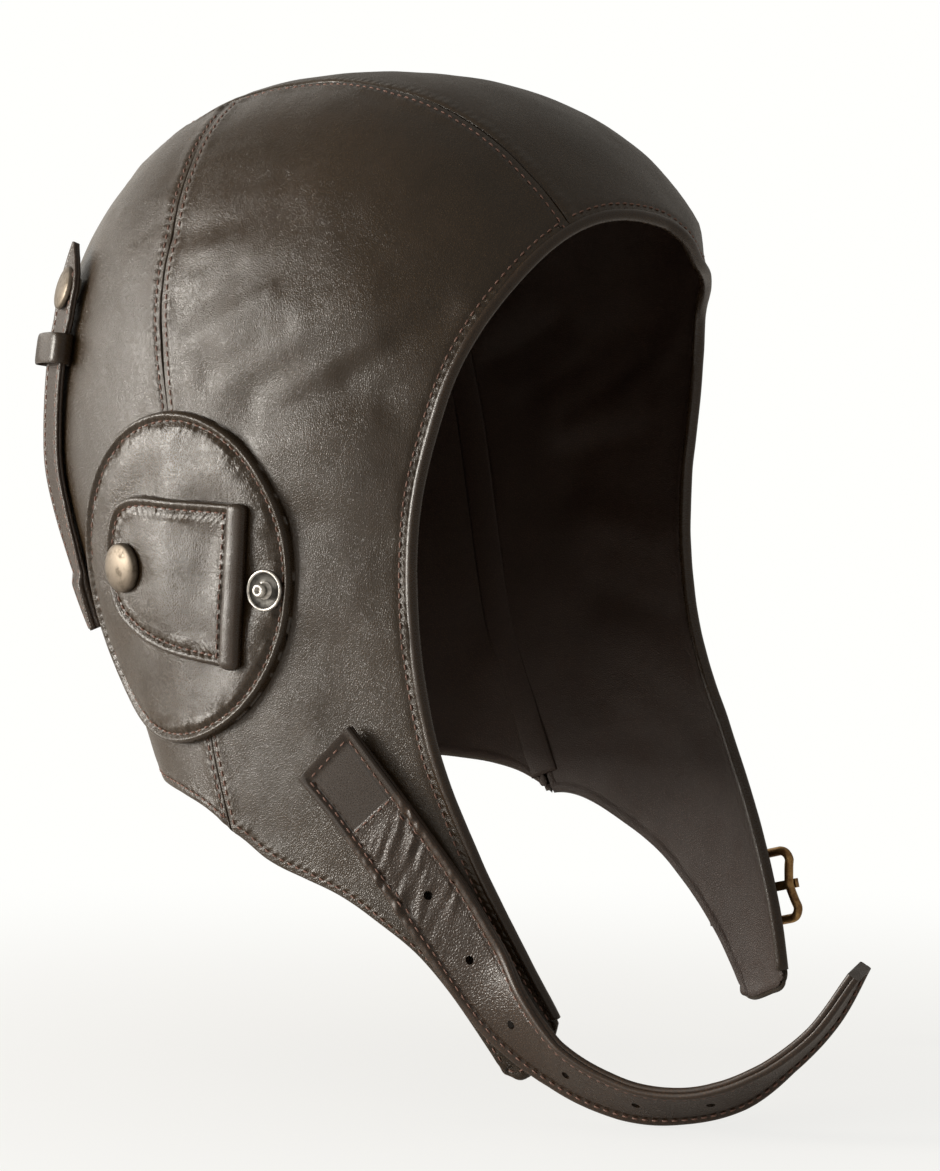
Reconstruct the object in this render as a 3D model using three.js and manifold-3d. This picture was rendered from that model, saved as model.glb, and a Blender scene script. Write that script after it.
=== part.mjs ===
// Leather motoring helmet with a chin strap, snap-down ear covers and goggle straps.
// Millimetres, +Z up. The wearer looks along -Y and the wearer's right side is at -X.
// The origin is the inside of the crown, where the helmet sits on the head.
import * as THREE from 'three';
import Module from 'manifold-3d';
import { mergeVertices } from 'three/addons/utils/BufferGeometryUtils.js';

// Leather and clearances
const WALL = 2.0;
const SEAM_INSET = 0.34;
const LAY_GAP = 0.7;
const METAL_GAP = 0.35;

// Crown form, measured on the outer skin
const CROWN_HEIGHT = 103;
const CROWN_REACH = 150;
const CROWN_SET_BACK = 8;
const SQUARE_BACK = 2.3;
const ARCH_FRONT = 2.45;
const ARCH_BACK = 2.17;
const ARCH_SIDE = 2.4;

// Level sections from the widest level of the crown down to the flap tips
const SECTIONS = [
  { drop: 0, half: 76, front: 99, back: 104, square: 2.25 },
  { drop: 40, half: 76, front: 99, back: 88, square: 2.5 },
  { drop: 80, half: 75.5, front: 100, back: 62, square: 3.0 },
  { drop: 120, half: 74.5, front: 102, back: 43, square: 3.6 },
  { drop: 160, half: 72, front: 104, back: 34, square: 4.0 },
  { drop: 200, half: 69, front: 105, back: 28, square: 4.0 },
];

// The loose left flap hangs a little further forward and outward than the right one
const LEFT_KICK = { below: 40, full: 80, from: -5, to: 45, forward: 0.1, outward: 0.02 };

// Left of the middle the brow lies closer to the forehead, between these turns and from this reach
const BROW_TUCK = { depth: 3.9, start: 0, full: 14, ease: 32, end: 54, from: 92, to: 107 };

// Folds pressed into the side leather, from a point near the ear towards the face
const FOLDS = [
  { fromTurn: 92, fromReach: 128, toTurn: 62, toReach: 118, rise: 1.1, width: 9 },
  { fromTurn: 86, fromReach: 140, toTurn: 60, toReach: 140, rise: -1.2, width: 8 },
  { fromTurn: 80, fromReach: 158, toTurn: 58, toReach: 164, rise: 0.9, width: 9 },
  { fromTurn: 108, fromReach: 100, toTurn: 84, toReach: 92, rise: -0.7, width: 10 },
  { fromTurn: 72, fromReach: 206, toTurn: 55, toReach: 222, rise: -0.8, width: 9 },
];

// Seams on the crown, as lengths over the skin outward and backward from the crown top
const STRIP_SEAM_FRONT = [
  { out: 32.3, back: 30.5 },
  { out: 36.5, back: 6 },
  { out: 38.6, back: -22 },
  { out: 38.5, back: -48 },
  { out: 40.2, back: -74 },
];
const STRIP_SEAM_BACK = [
  { turn: 133.4, reach: 44.4 },
  { turn: 157, reach: 76 },
  { turn: 163, reach: 112 },
  { turn: 164, reach: 150 },
  { turn: 162, reach: 190 },
  { turn: 158, reach: 239.3 },
];
const SIDE_SEAM = [
  { turn: 133.4, reach: 44.4 },
  { turn: 119.8, reach: 66.3 },
  { turn: 113.6, reach: 91.2 },
  { turn: 111.5, reach: 117.1 },
  { turn: 108.2, reach: 143 },
  { turn: 103, reach: 190 },
  { turn: 97.3, reach: 230.6 },
  { turn: 92.7, reach: 252.8 },
];

// Edges, as turn from the front in degrees and reach over the skin from the crown top
const FACE_EDGE_RIGHT = [
  { turn: 0, reach: 96.9 },
  { turn: 18.9, reach: 97.3 },
  { turn: 35.7, reach: 113.1 },
  { turn: 48.6, reach: 141.7 },
  { turn: 53.7, reach: 182.1 },
  { turn: 51.3, reach: 223 },
  { turn: 44.6, reach: 255.3 },
  { turn: 37.9, reach: 281.3 },
  { turn: 33.9, reach: 296.1 },
];
const FACE_EDGE_LEFT = [
  { turn: 0, reach: 96.9 },
  { turn: 6.5, reach: 101 },
  { turn: 14, reach: 106 },
  { turn: 26, reach: 110.5 },
  { turn: 38, reach: 120 },
  { turn: 47, reach: 144 },
  { turn: 51.2, reach: 180.7 },
  { turn: 48.5, reach: 219.2 },
  { turn: 43.5, reach: 252.8 },
  { turn: 40.4, reach: 283 },
  { turn: 39.9, reach: 298 },
];
const FLAP_BACK_RIGHT = [
  { turn: 92.7, reach: 252.8 },
  { turn: 84, reach: 259.4 },
  { turn: 75, reach: 263.8 },
  { turn: 61.8, reach: 272.2 },
  { turn: 53.3, reach: 281.9 },
  { turn: 48.3, reach: 291.5 },
  { turn: 44.5, reach: 301.2 },
  { turn: 41.2, reach: 310.9 },
];
const FLAP_BACK_LEFT = [
  { turn: 92.7, reach: 252.8 },
  { turn: 76, reach: 259.5 },
  { turn: 66.7, reach: 268.7 },
  { turn: 60.7, reach: 278.7 },
  { turn: 56.3, reach: 288.7 },
  { turn: 53, reach: 298.7 },
  { turn: 50.5, reach: 307.5 },
];
const FLAP_TIP_RIGHT = [
  { turn: 41.2, reach: 310.9 },
  { turn: 38.6, reach: 312 },
  { turn: 35.4, reach: 305.5 },
  { turn: 33.9, reach: 296.1 },
];
const FLAP_TIP_LEFT = [
  { turn: 50.5, reach: 307.5 },
  { turn: 48.4, reach: 308.4 },
  { turn: 44.4, reach: 306 },
  { turn: 41, reach: 303 },
  { turn: 39.9, reach: 298 },
];
const NAPE_HEM = [
  { turn: 92.7, reach: 252.8 },
  { turn: 98.6, reach: 247.8 },
  { turn: 106.8, reach: 244.3 },
  { turn: 115, reach: 242.7 },
  { turn: 125, reach: 241.5 },
  { turn: 136, reach: 240.6 },
  { turn: 147, reach: 239.9 },
  { turn: 158, reach: 239.3 },
];

// Panel meshes: steps along the seams and across the panels
const STRIP_FRONT_STEPS = 9;
const STRIP_BACK_STEPS = 15;
const STRIP_ACROSS = 6;
const SIDE_SEAM_STEPS = 22;
const FLAP_STEPS = 10;
const BACK_ACROSS = 7;
const POINT_SHARE = 0.82;

// Rolled leather binding round the face opening
const BINDING = { across: 3.0, thick: 3.6, lift: 0.5, clear: 0.5, sides: 8 };

// Where the search for a place on the skin begins, on the flattened skin of the right side
const SEARCH_EAR = { out: 170, back: 30 };
const SEARCH_BACK = { out: 60, back: 110 };
const SEARCH_FLAP = { out: 190, back: -120 };

// Rings of a leather plate, as shares of its outline
const PLATE_RINGS = [0.32, 0.6, 0.82, 1];

// Ear cover: oval patch, D-shaped flap on it, snap cap and snap stud
const EAR_TILT = 15;
const EAR_PATCH = { centre: 2.4, level: -137, across: 78, tall: 88.5, thick: 1.4, gap: 0.8, sides: 36 };
const EAR_FLAP = { along: 4, level: -137, thick: 1.4, gap: 0.5, curveSides: 24, frontSides: 4 };
const EAR_FLAP_OUTLINE = [
  { along: -22.4, level: -117.4 },
  { along: -2, level: -116.2 },
  { along: 15.5, level: -115.4 },
  { along: 22, level: -118.5 },
  { along: 26, level: -128 },
  { along: 26, level: -138 },
  { along: 22.5, level: -146.5 },
  { along: 14, level: -152.5 },
  { along: 2, level: -157 },
  { along: -19.5, level: -160.8 },
];
const SNAP_CAP = { along: 17.8, level: -134.3, diameter: 13.5, height: 3.0, sides: 18 };
const SNAP_STUD = {
  along: -29.2, level: -139.9, diameter: 11, height: 3.6, flange: 0.7, rim: 1.3, dish: 0.8, sides: 16,
};

// Goggle strap on the back quarter: level and height of its inner face over the skin
const GOGGLE_ROWS = [
  { level: -47, out: 49.5, stand: 4.2, width: 2.5, thick: 2 },
  { level: -51, out: 51, stand: 3.4, width: 10, thick: 2 },
  { level: -55, out: 52.5, stand: 2.8, width: 15, thick: 2 },
  { level: -59, out: 53.8, stand: 2.4, width: 16, thick: 2 },
  { level: -67, out: 55, stand: 1.8, width: 16, thick: 2 },
  { level: -76, out: 55, stand: 1.5, width: 16, thick: 2 },
  { level: -90, out: 55, stand: 1.2, width: 16, thick: 2 },
  { level: -104, out: 55, stand: 1.1, width: 16, thick: 2 },
  { level: -117, out: 55, stand: 1.1, width: 16, thick: 2 },
  { level: -128, out: 54.5, stand: 1.1, width: 16, thick: 2 },
  { level: -136, out: 53.3, stand: 1.1, width: 16, thick: 2.2 },
  { level: -139, out: 52.8, stand: 1.1, width: 16, thick: 3.6 },
  { level: -151, out: 51.5, stand: 1.1, width: 16, thick: 3.8 },
];
const GOGGLE_SNAP_LEVEL = -59;
const GOGGLE_SNAP = { diameter: 12.5, height: 2.2, foot: 8, gap: 0.95, sides: 16, footSides: 12 };
const KEEPER = { level: -75, tall: 8.5, wall: 1.2, gap: 1.05, slack: 0.3, foot: 0.4 };

// Chin strap: the sewn stretch lies on the right flap, then it curls forward and up
const STRAP_THICK = 3.3;
const STRAP_SEWN = [
  { y: -28.3, z: -181.5, width: 21 },
  { y: -37.4, z: -191.4, width: 20 },
  { y: -48.4, z: -204.5, width: 20 },
  { y: -59.2, z: -218.5, width: 20 },
];
const STRAP_FREE = [
  { x: -72.3, y: -71.5, z: -234.5, roll: -4, width: 19.3 },
  { x: -72.5, y: -80.5, z: -245.7, roll: 15, width: 19.2 },
  { x: -71.2, y: -94, z: -256.9, roll: 37, width: 19 },
  { x: -69, y: -110.5, z: -263.9, roll: 47, width: 18.8 },
  { x: -67, y: -125.3, z: -265, roll: 60, width: 18.5 },
  { x: -65, y: -140.3, z: -261.5, roll: 71, width: 18 },
  { x: -63, y: -152.3, z: -253.9, roll: 87, width: 17.5 },
  { x: -61, y: -163.5, z: -243.4, roll: 97, width: 17 },
  { x: -59.5, y: -172.6, z: -229.2, roll: 105, width: 16.2 },
];
const STRAP_STEPS = 56;
const STRAP_HOLES = { count: 6, diameter: 2.6, first: 46, pitch: 19.5, sides: 8 };

// Buckle on the left flap: brass frame, prong, and the leather tab folded round its bar
const BUCKLE = { y: -66.6, z: -229.6, width: 19.4, length: 18, wire: 1.3, corner: 3, waist: 1.8 };
const BUCKLE_DOWN = -13;
const BUCKLE_SIDES = 8;
const CORNER_STEPS = 3;
const TAB = { width: 15, thick: 1.6, neck: 7, tail: 14, lap: 0.6, steps: 7, clear: 0.6, gap: 0.75 };
const TAB_SLOT = { long: 10, deep: 12, wide: 5, shift: 1.2 };
const PRONG = { width: 2.6, thick: 1.8, eyeWall: 1.26, taper: 5, past: 1, tip: 1.44, root: 1.5 };
const ARC_STEPS = 14;

// Colours
const LEATHER_COLOUR = 0x3a2c22;
const EDGE_COLOUR = 0x4a382c;
const BRASS_COLOUR = 0x8f6d45;
const SNAP_COLOUR = 0x8a7c6a;
const NICKEL_COLOUR = 0xb9b4ab;

const wasm = await Module();
wasm.setup();

// Small vector helpers
const vec = (x, y, z) => new THREE.Vector3(x, y, z);
const along = (point, direction, length) => point.clone().addScaledVector(direction, length);
const radians = THREE.MathUtils.degToRad;
const smooth = THREE.MathUtils.smoothstep;

// One column of the section table, smooth between rows and level at the first row
function sectionValue(column, drop) {
  const last = SECTIONS.length - 1;
  let k = 0;
  while (k < last - 1 && drop >= SECTIONS[k + 1].drop) k += 1;
  const slope = (i) => {
    if (i === 0) return 0;
    const lower = SECTIONS[Math.min(i + 1, last)];
    const upper = SECTIONS[i - 1];
    const base = i === last ? SECTIONS[i].drop - upper.drop : lower.drop - upper.drop;
    return (lower[column] - upper[column]) / base;
  };
  const a = SECTIONS[k];
  const b = SECTIONS[k + 1];
  const span = b.drop - a.drop;
  const raw = (drop - a.drop) / span;
  const t = Math.min(raw, 1);
  const value = (2 * t ** 3 - 3 * t ** 2 + 1) * a[column] + (t ** 3 - 2 * t ** 2 + t) * span * slope(k)
    + (3 * t ** 2 - 2 * t ** 3) * b[column] + (t ** 3 - t ** 2) * span * slope(k + 1);
  return value + Math.max(raw - 1, 0) * span * slope(last);
}

// The plain skin at a turn from the front and a reach over the crown from its top
function plainSkin(turn, reach) {
  const lean = Math.min(reach / CROWN_REACH, 1) * Math.PI / 2;
  const drop = Math.max(reach - CROWN_REACH, 0);
  const ahead = Math.cos(turn);
  const aside = Math.sin(turn);
  const arch = (ahead > 0 ? ARCH_FRONT : ARCH_BACK) * ahead ** 2 + ARCH_SIDE * aside ** 2;
  const swell = (Math.sin(lean) ** arch + Math.abs(Math.cos(lean)) ** arch) ** (-1 / arch);
  const square = ahead > 0 ? sectionValue('square', drop) : SQUARE_BACK;
  const length = sectionValue(ahead > 0 ? 'front' : 'back', drop);
  const half = sectionValue('half', drop);
  const radius = (Math.abs(aside / half) ** square + Math.abs(ahead / length) ** square) ** (-1 / square);
  const level = reach < CROWN_REACH ? Math.sin(lean) * swell : 1;
  const point = vec(-radius * level * aside, -radius * level * ahead, WALL);
  if (reach < CROWN_REACH) {
    point.y += CROWN_SET_BACK * Math.cos(lean) ** 2;
    point.z += CROWN_HEIGHT * (Math.cos(lean) * swell - 1);
  } else {
    point.z -= CROWN_HEIGHT + drop;
  }
  const leftTurn = -THREE.MathUtils.radToDeg(turn);
  const tuck = BROW_TUCK.depth * smooth(reach, BROW_TUCK.from, BROW_TUCK.to)
    * (smooth(leftTurn, BROW_TUCK.start, BROW_TUCK.full) - smooth(leftTurn, BROW_TUCK.ease, BROW_TUCK.end));
  point.x += tuck * aside;
  point.y += tuck * ahead;
  if (point.x > 0) {
    const share = Math.max(drop - LEFT_KICK.below, 0) * smooth(point.x, LEFT_KICK.from, LEFT_KICK.to)
      * smooth(drop, LEFT_KICK.below, LEFT_KICK.full);
    point.x += share * LEFT_KICK.outward;
    point.y -= share * LEFT_KICK.forward;
  }
  return point;
}

// Flattened skin: x outward to the right side, y backward, both from the crown top
const flat = (turn, reach) => new THREE.Vector2(reach * Math.sin(turn), -reach * Math.cos(turn));
const plainAt = (p) => plainSkin(Math.atan2(p.x, -p.y), p.length());

const foldLines = [1, -1].flatMap((side) => FOLDS.map((fold) => ({
  line: new THREE.Line3(
    plainSkin(side * radians(fold.fromTurn), fold.fromReach),
    plainSkin(side * radians(fold.toTurn), fold.toReach),
  ),
  rise: fold.rise,
  width: fold.width,
})));

// Height of the folds over the plain skin
function foldRise(point) {
  const near = vec(0, 0, 0);
  return foldLines.reduce((sum, fold) => {
    fold.line.closestPointToPoint(point, true, near);
    return sum + fold.rise * Math.exp(-((near.distanceTo(point) / fold.width) ** 2));
  }, 0);
}

// Point and outward normal on the finished outer skin, at a place on the flattened skin
function skin(p) {
  const step = 0.4;
  const centre = plainAt(p);
  const x = plainAt(p.clone().add(new THREE.Vector2(step, 0)));
  const y = plainAt(p.clone().add(new THREE.Vector2(0, step)));
  const normal = x.sub(centre).cross(y.sub(centre)).normalize();
  if (normal.dot(centre.clone().sub(vec(0, 0, -CROWN_HEIGHT))) < 0) normal.negate();
  if (centre.z < -CROWN_HEIGHT && normal.x * centre.x + normal.y * centre.y < 0) normal.negate();
  return { point: along(centre, normal, foldRise(centre)), normal };
}

// The place on the flattened skin where two measures of a point reach wanted values
function findOnSkin(measure, wanted, side, start) {
  const p = new THREE.Vector2(start.out * side, start.back);
  const step = 0.2;
  const farthest = 15;
  for (let i = 0; i < 30; i += 1) {
    const now = measure(plainAt(p));
    const dx = measure(plainAt(p.clone().add(new THREE.Vector2(step, 0))));
    const dy = measure(plainAt(p.clone().add(new THREE.Vector2(0, step))));
    const a = (dx[0] - now[0]) / step;
    const b = (dy[0] - now[0]) / step;
    const c = (dx[1] - now[1]) / step;
    const d = (dy[1] - now[1]) / step;
    const e = wanted[0] - now[0];
    const f = wanted[1] - now[1];
    const det = a * d - b * c;
    const move = new THREE.Vector2((d * e - b * f) / det, (a * f - c * e) / det);
    p.add(move.clampLength(0, farthest));
    if (move.length() < 1e-5) break;
  }
  return p;
}

// A smooth curve on the flattened skin through the rows of a table
function edgeCurve(rows, side) {
  const points = rows.map((row) => {
    const p = row.turn === undefined
      ? new THREE.Vector2(row.out, row.back)
      : flat(radians(row.turn), row.reach);
    return vec(p.x * side, p.y, 0);
  });
  return new THREE.CatmullRomCurve3(points, false, 'centripetal');
}

const stations = (rows, side, steps) => edgeCurve(rows, side).getSpacedPoints(steps);

// Steps on the flattened skin that move each point of an edge inward by a real length
function insetSteps(edge, opposite, amount) {
  const places = edge.map((p) => skin(p));
  const last = edge.length - 1;
  return edge.map((p, i) => {
    const run = places[Math.min(i + 1, last)].point.clone().sub(places[Math.max(i - 1, 0)].point);
    const direction = run.cross(places[i].normal).normalize();
    const centre = plainAt(p);
    const x = plainAt(new THREE.Vector2(p.x + 1, p.y)).sub(centre);
    const y = plainAt(new THREE.Vector2(p.x, p.y + 1)).sub(centre);
    const det = x.dot(x) * y.dot(y) - x.dot(y) ** 2;
    const u = (direction.dot(x) * y.dot(y) - direction.dot(y) * x.dot(y)) / det;
    const v = (direction.dot(y) * x.dot(x) - direction.dot(x) * x.dot(y)) / det;
    const step = new THREE.Vector2(u, v);
    const far = new THREE.Vector2(opposite[Math.max(i, 2)].x - p.x, opposite[Math.max(i, 2)].y - p.y);
    return step.multiplyScalar(Math.sign(step.dot(far)) * amount);
  });
}

// Grid on the flattened skin, filled in between four edges that are first moved inward
function fillPatch(edges, insets) {
  const flatten = (edge) => edge.map((p) => new THREE.Vector2(p.x, p.y));
  const top = flatten(edges.top);
  const bottom = flatten(edges.bottom);
  const start = flatten(edges.start);
  const end = flatten(edges.end);
  const rows = start.length - 1;
  const columns = top.length - 1;
  const startSteps = insetSteps(start, end, insets.start);
  const endSteps = insetSteps(end, start, insets.end);
  const pointed = top[0].distanceTo(top[columns]) < 1;
  const topSteps = pointed ? top.map(() => new THREE.Vector2()) : insetSteps(top, bottom, insets.top);
  const bottomSteps = insetSteps(bottom, top, insets.bottom);
  const move = (edge, steps, first, final) => edge.map((p, k) => p.clone().add(steps[k])
    .add(first.clone().lerp(final, k / (edge.length - 1))));
  const a = move(top, topSteps, startSteps[0], endSteps[0]);
  const b = move(bottom, bottomSteps, startSteps[rows], endSteps[rows]);
  const c = move(start, startSteps, topSteps[0], bottomSteps[0]);
  const d = move(end, endSteps, topSteps[columns], bottomSteps[columns]);
  return c.map((_, i) => a.map((__, j) => {
    const v = i / rows;
    const u = j / columns;
    const sum = (get) => (1 - v) * get(a[j]) + v * get(b[j]) + (1 - u) * get(c[i]) + u * get(d[i])
      - (1 - u) * (1 - v) * get(a[0]) - u * (1 - v) * get(a[columns])
      - (1 - u) * v * get(b[0]) - u * v * get(b[columns]);
    return new THREE.Vector2(sum((q) => q.x), sum((q) => q.y));
  }));
}

// Closed mesh from a list of corners and triangles, turned so that its faces point out
function closedGeometry(corners, triangles) {
  const volume = triangles.reduce((sum, [a, b, c]) => sum
    + corners[a].dot(corners[b].clone().cross(corners[c])), 0);
  const faces = volume < 0 ? triangles.map(([a, b, c]) => [a, c, b]) : triangles;
  const geometry = new THREE.BufferGeometry();
  geometry.setAttribute('position', new THREE.Float32BufferAttribute(corners.flatMap((p) => p.toArray()), 3));
  geometry.setIndex(faces.flat());
  return geometry;
}

// Leather panel: a grid of skin points with the wall behind it
function panelGeometry(grid) {
  const outer = grid.map((row) => row.map((p) => skin(p)));
  const rows = grid.length;
  const columns = grid[0].length;
  const points = outer.map((row) => row.map((s) => s.point));
  const inner = points.map((row, i) => row.map((p, j) => along(p, outer[i][j].normal, -WALL)));
  const corners = [...points.flat(), ...inner.flat()];
  const at = (i, j, layer) => layer * rows * columns + i * columns + j;
  const triangles = [];
  const quad = (a, b, c, d) => triangles.push([a, b, c], [a, c, d]);
  for (let i = 0; i < rows - 1; i += 1) {
    for (let j = 0; j < columns - 1; j += 1) {
      quad(at(i, j, 0), at(i, j + 1, 0), at(i + 1, j + 1, 0), at(i + 1, j, 0));
      quad(at(i, j, 1), at(i + 1, j, 1), at(i + 1, j + 1, 1), at(i, j + 1, 1));
    }
    quad(at(i, 0, 0), at(i + 1, 0, 0), at(i + 1, 0, 1), at(i, 0, 1));
    quad(at(i, columns - 1, 0), at(i, columns - 1, 1), at(i + 1, columns - 1, 1), at(i + 1, columns - 1, 0));
  }
  for (let j = 0; j < columns - 1; j += 1) {
    quad(at(0, j, 0), at(0, j, 1), at(0, j + 1, 1), at(0, j + 1, 0));
    quad(at(rows - 1, j, 0), at(rows - 1, j + 1, 0), at(rows - 1, j + 1, 1), at(rows - 1, j, 1));
  }
  return closedGeometry(corners, triangles);
}

// Solid skinned over a row of rings with equal counts, with flat ends
function loftGeometry(rings) {
  const count = rings[0].length;
  const corners = rings.flat();
  const triangles = [];
  for (let i = 0; i < rings.length - 1; i += 1) {
    for (let j = 0; j < count; j += 1) {
      const a = i * count + j;
      const b = i * count + (j + 1) % count;
      triangles.push([a, b, b + count], [a, b + count, a + count]);
    }
  }
  const last = (rings.length - 1) * count;
  for (let j = 1; j < count - 1; j += 1) {
    triangles.push([0, j + 1, j], [last, last + j, last + j + 1]);
  }
  return closedGeometry(corners, triangles);
}

// Boolean work
function toManifold(geometry) {
  const bare = geometry.clone();
  bare.deleteAttribute('normal');
  bare.deleteAttribute('uv');
  const merged = mergeVertices(bare, 1e-4);
  return new wasm.Manifold(new wasm.Mesh({
    numProp: 3,
    vertProperties: new Float32Array(merged.attributes.position.array),
    triVerts: new Uint32Array(merged.index.array),
  }));
}

function toGeometry(solid) {
  const mesh = solid.getMesh();
  const geometry = new THREE.BufferGeometry();
  geometry.setAttribute('position', new THREE.Float32BufferAttribute(mesh.vertProperties, 3));
  geometry.setIndex(Array.from(mesh.triVerts));
  return geometry;
}

// Materials
const leather = new THREE.MeshStandardMaterial({ color: LEATHER_COLOUR, roughness: 0.5, metalness: 0 });
const edgeLeather = new THREE.MeshStandardMaterial({ color: EDGE_COLOUR, roughness: 0.45, metalness: 0 });
const brass = new THREE.MeshStandardMaterial({ color: BRASS_COLOUR, roughness: 0.4, metalness: 1 });
const oldBrass = new THREE.MeshStandardMaterial({ color: SNAP_COLOUR, roughness: 0.45, metalness: 1 });
const nickel = new THREE.MeshStandardMaterial({ color: NICKEL_COLOUR, roughness: 0.25, metalness: 1 });

const helmet = new THREE.Group();

function addPiece(name, geometry, material) {
  const mesh = new THREE.Mesh(geometry, material);
  mesh.name = name;
  helmet.add(mesh);
  return mesh;
}

const sideName = (side) => (side > 0 ? 'right' : 'left');
const faceEdgeRows = (side) => (side > 0 ? FACE_EDGE_RIGHT : FACE_EDGE_LEFT);

// The place on the face edge where the crown strip's seam meets it, as a curve parameter
function seamMeetsFace(side) {
  const curve = edgeCurve(faceEdgeRows(side), side);
  const seam = STRIP_SEAM_FRONT[STRIP_SEAM_FRONT.length - 1];
  const wanted = seam.out + 0.4;
  let low = 0;
  let high = 0.4;
  for (let i = 0; i < 30; i += 1) {
    const middle = (low + high) / 2;
    if (Math.abs(curve.getPointAt(middle).x) < wanted) low = middle; else high = middle;
  }
  return low;
}

// Points of the face edge between two curve parameters
function faceEdge(side, from, to, steps) {
  const curve = edgeCurve(faceEdgeRows(side), side);
  return Array.from({ length: steps + 1 }, (_, i) => curve.getPointAt(from + (to - from) * i / steps));
}

// Strip seam from the junction on the crown to the face edge
function stripSeamFront(side) {
  const meet = edgeCurve(faceEdgeRows(side), side).getPointAt(seamMeetsFace(side));
  const rows = [...STRIP_SEAM_FRONT, { out: Math.abs(meet.x), back: meet.y }];
  return stations(rows, side, STRIP_FRONT_STEPS);
}

// Side panel with the ear flap: from the strip seam down to the flap's tip
function sidePanel(side) {
  const back = side > 0 ? FLAP_BACK_RIGHT : FLAP_BACK_LEFT;
  const tip = side > 0 ? FLAP_TIP_RIGHT : FLAP_TIP_LEFT;
  const edges = {
    top: stripSeamFront(side),
    bottom: stations(tip, side, STRIP_FRONT_STEPS),
    start: [...stations(SIDE_SEAM, side, SIDE_SEAM_STEPS), ...stations(back, side, FLAP_STEPS).slice(1)],
    end: faceEdge(side, seamMeetsFace(side), 1, SIDE_SEAM_STEPS + FLAP_STEPS),
  };
  const insets = { top: SEAM_INSET, bottom: 0, start: SEAM_INSET, end: BINDING.across + BINDING.clear };
  addPiece(`side_panel_${sideName(side)}`, panelGeometry(fillPatch(edges, insets)), leather);
}

// Back panel between the crown strip and the side panel, narrowing to the seam junction
function backPanel(side) {
  const bottom = stations(NAPE_HEM, side, BACK_ACROSS).reverse();
  const start = stations(STRIP_SEAM_BACK, side, STRIP_BACK_STEPS);
  const edges = {
    top: bottom.map(() => start[0].clone()),
    bottom,
    start,
    end: stations(SIDE_SEAM, side, STRIP_BACK_STEPS),
  };
  const insets = { top: 0, bottom: 0, start: SEAM_INSET, end: SEAM_INSET };
  const grid = fillPatch(edges, insets);
  grid[0] = grid[1].map((p) => p.clone().lerp(grid[0][0], POINT_SHARE));
  addPiece(`back_panel_${sideName(side)}`, panelGeometry(grid), leather);
}

// Crown strip from the forehead over the crown to the nape
function crownStrip() {
  const chain = (side) => [...stripSeamFront(side).reverse(),
    ...stations(STRIP_SEAM_BACK, side, STRIP_BACK_STEPS).slice(1)];
  const half = STRIP_ACROSS / 2;
  const top = [...faceEdge(1, 0, seamMeetsFace(1), half).reverse(),
    ...faceEdge(-1, 0, seamMeetsFace(-1), half).slice(1)];
  const start = chain(1);
  const nape = start[start.length - 1];
  const reach = Math.hypot(nape.x, nape.y);
  const turn = Math.atan2(nape.x, -nape.y);
  const bottom = top.map((_, j) => flat(turn + (2 * Math.PI - 2 * turn) * j / STRIP_ACROSS, reach));
  const insets = { top: BINDING.across + BINDING.clear, bottom: 0, start: SEAM_INSET, end: SEAM_INSET };
  const grid = fillPatch({ top, bottom, start, end: chain(-1) }, insets);
  addPiece('crown_strip', panelGeometry(grid), leather);
}

// Rolled binding along the whole face edge, from one flap tip to the other
function faceBinding() {
  const half = (side) => {
    const seam = seamMeetsFace(side);
    const flank = faceEdge(side, seam, 1, SIDE_SEAM_STEPS + FLAP_STEPS);
    return [...faceEdge(side, 0, seam, STRIP_ACROSS / 2), ...flank.slice(1)];
  };
  const path = [...half(1).reverse(), ...half(-1).slice(1)].map((p) => new THREE.Vector2(p.x, p.y));
  const places = path.map((p) => skin(p));
  const rings = places.map(({ point, normal }, i) => {
    const before = places[Math.max(i - 1, 0)].point;
    const after = places[Math.min(i + 1, places.length - 1)].point;
    const run = after.clone().sub(before).normalize();
    const inward = run.clone().cross(normal).normalize();
    const centre = along(along(point, inward, -BINDING.across / 2), normal, BINDING.lift - BINDING.thick / 2);
    return Array.from({ length: BINDING.sides }, (_, k) => {
      const angle = (k + 0.5) * 2 * Math.PI / BINDING.sides;
      const sideways = along(centre, inward, Math.cos(angle) * BINDING.across / 2);
      return along(sideways, normal, Math.sin(angle) * BINDING.thick / 2);
    });
  });
  addPiece('face_binding', loftGeometry(rings), edgeLeather);
}

// The skin under a place on the ear cover, measured along the head and by level
function earPlace(side, alongEar, level) {
  const tilt = radians(EAR_TILT);
  const measure = (p) => [-Math.abs(p.x) * Math.sin(tilt) + p.y * Math.cos(tilt), p.z];
  return skin(findOnSkin(measure, [alongEar, level], side, SEARCH_EAR));
}

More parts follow.
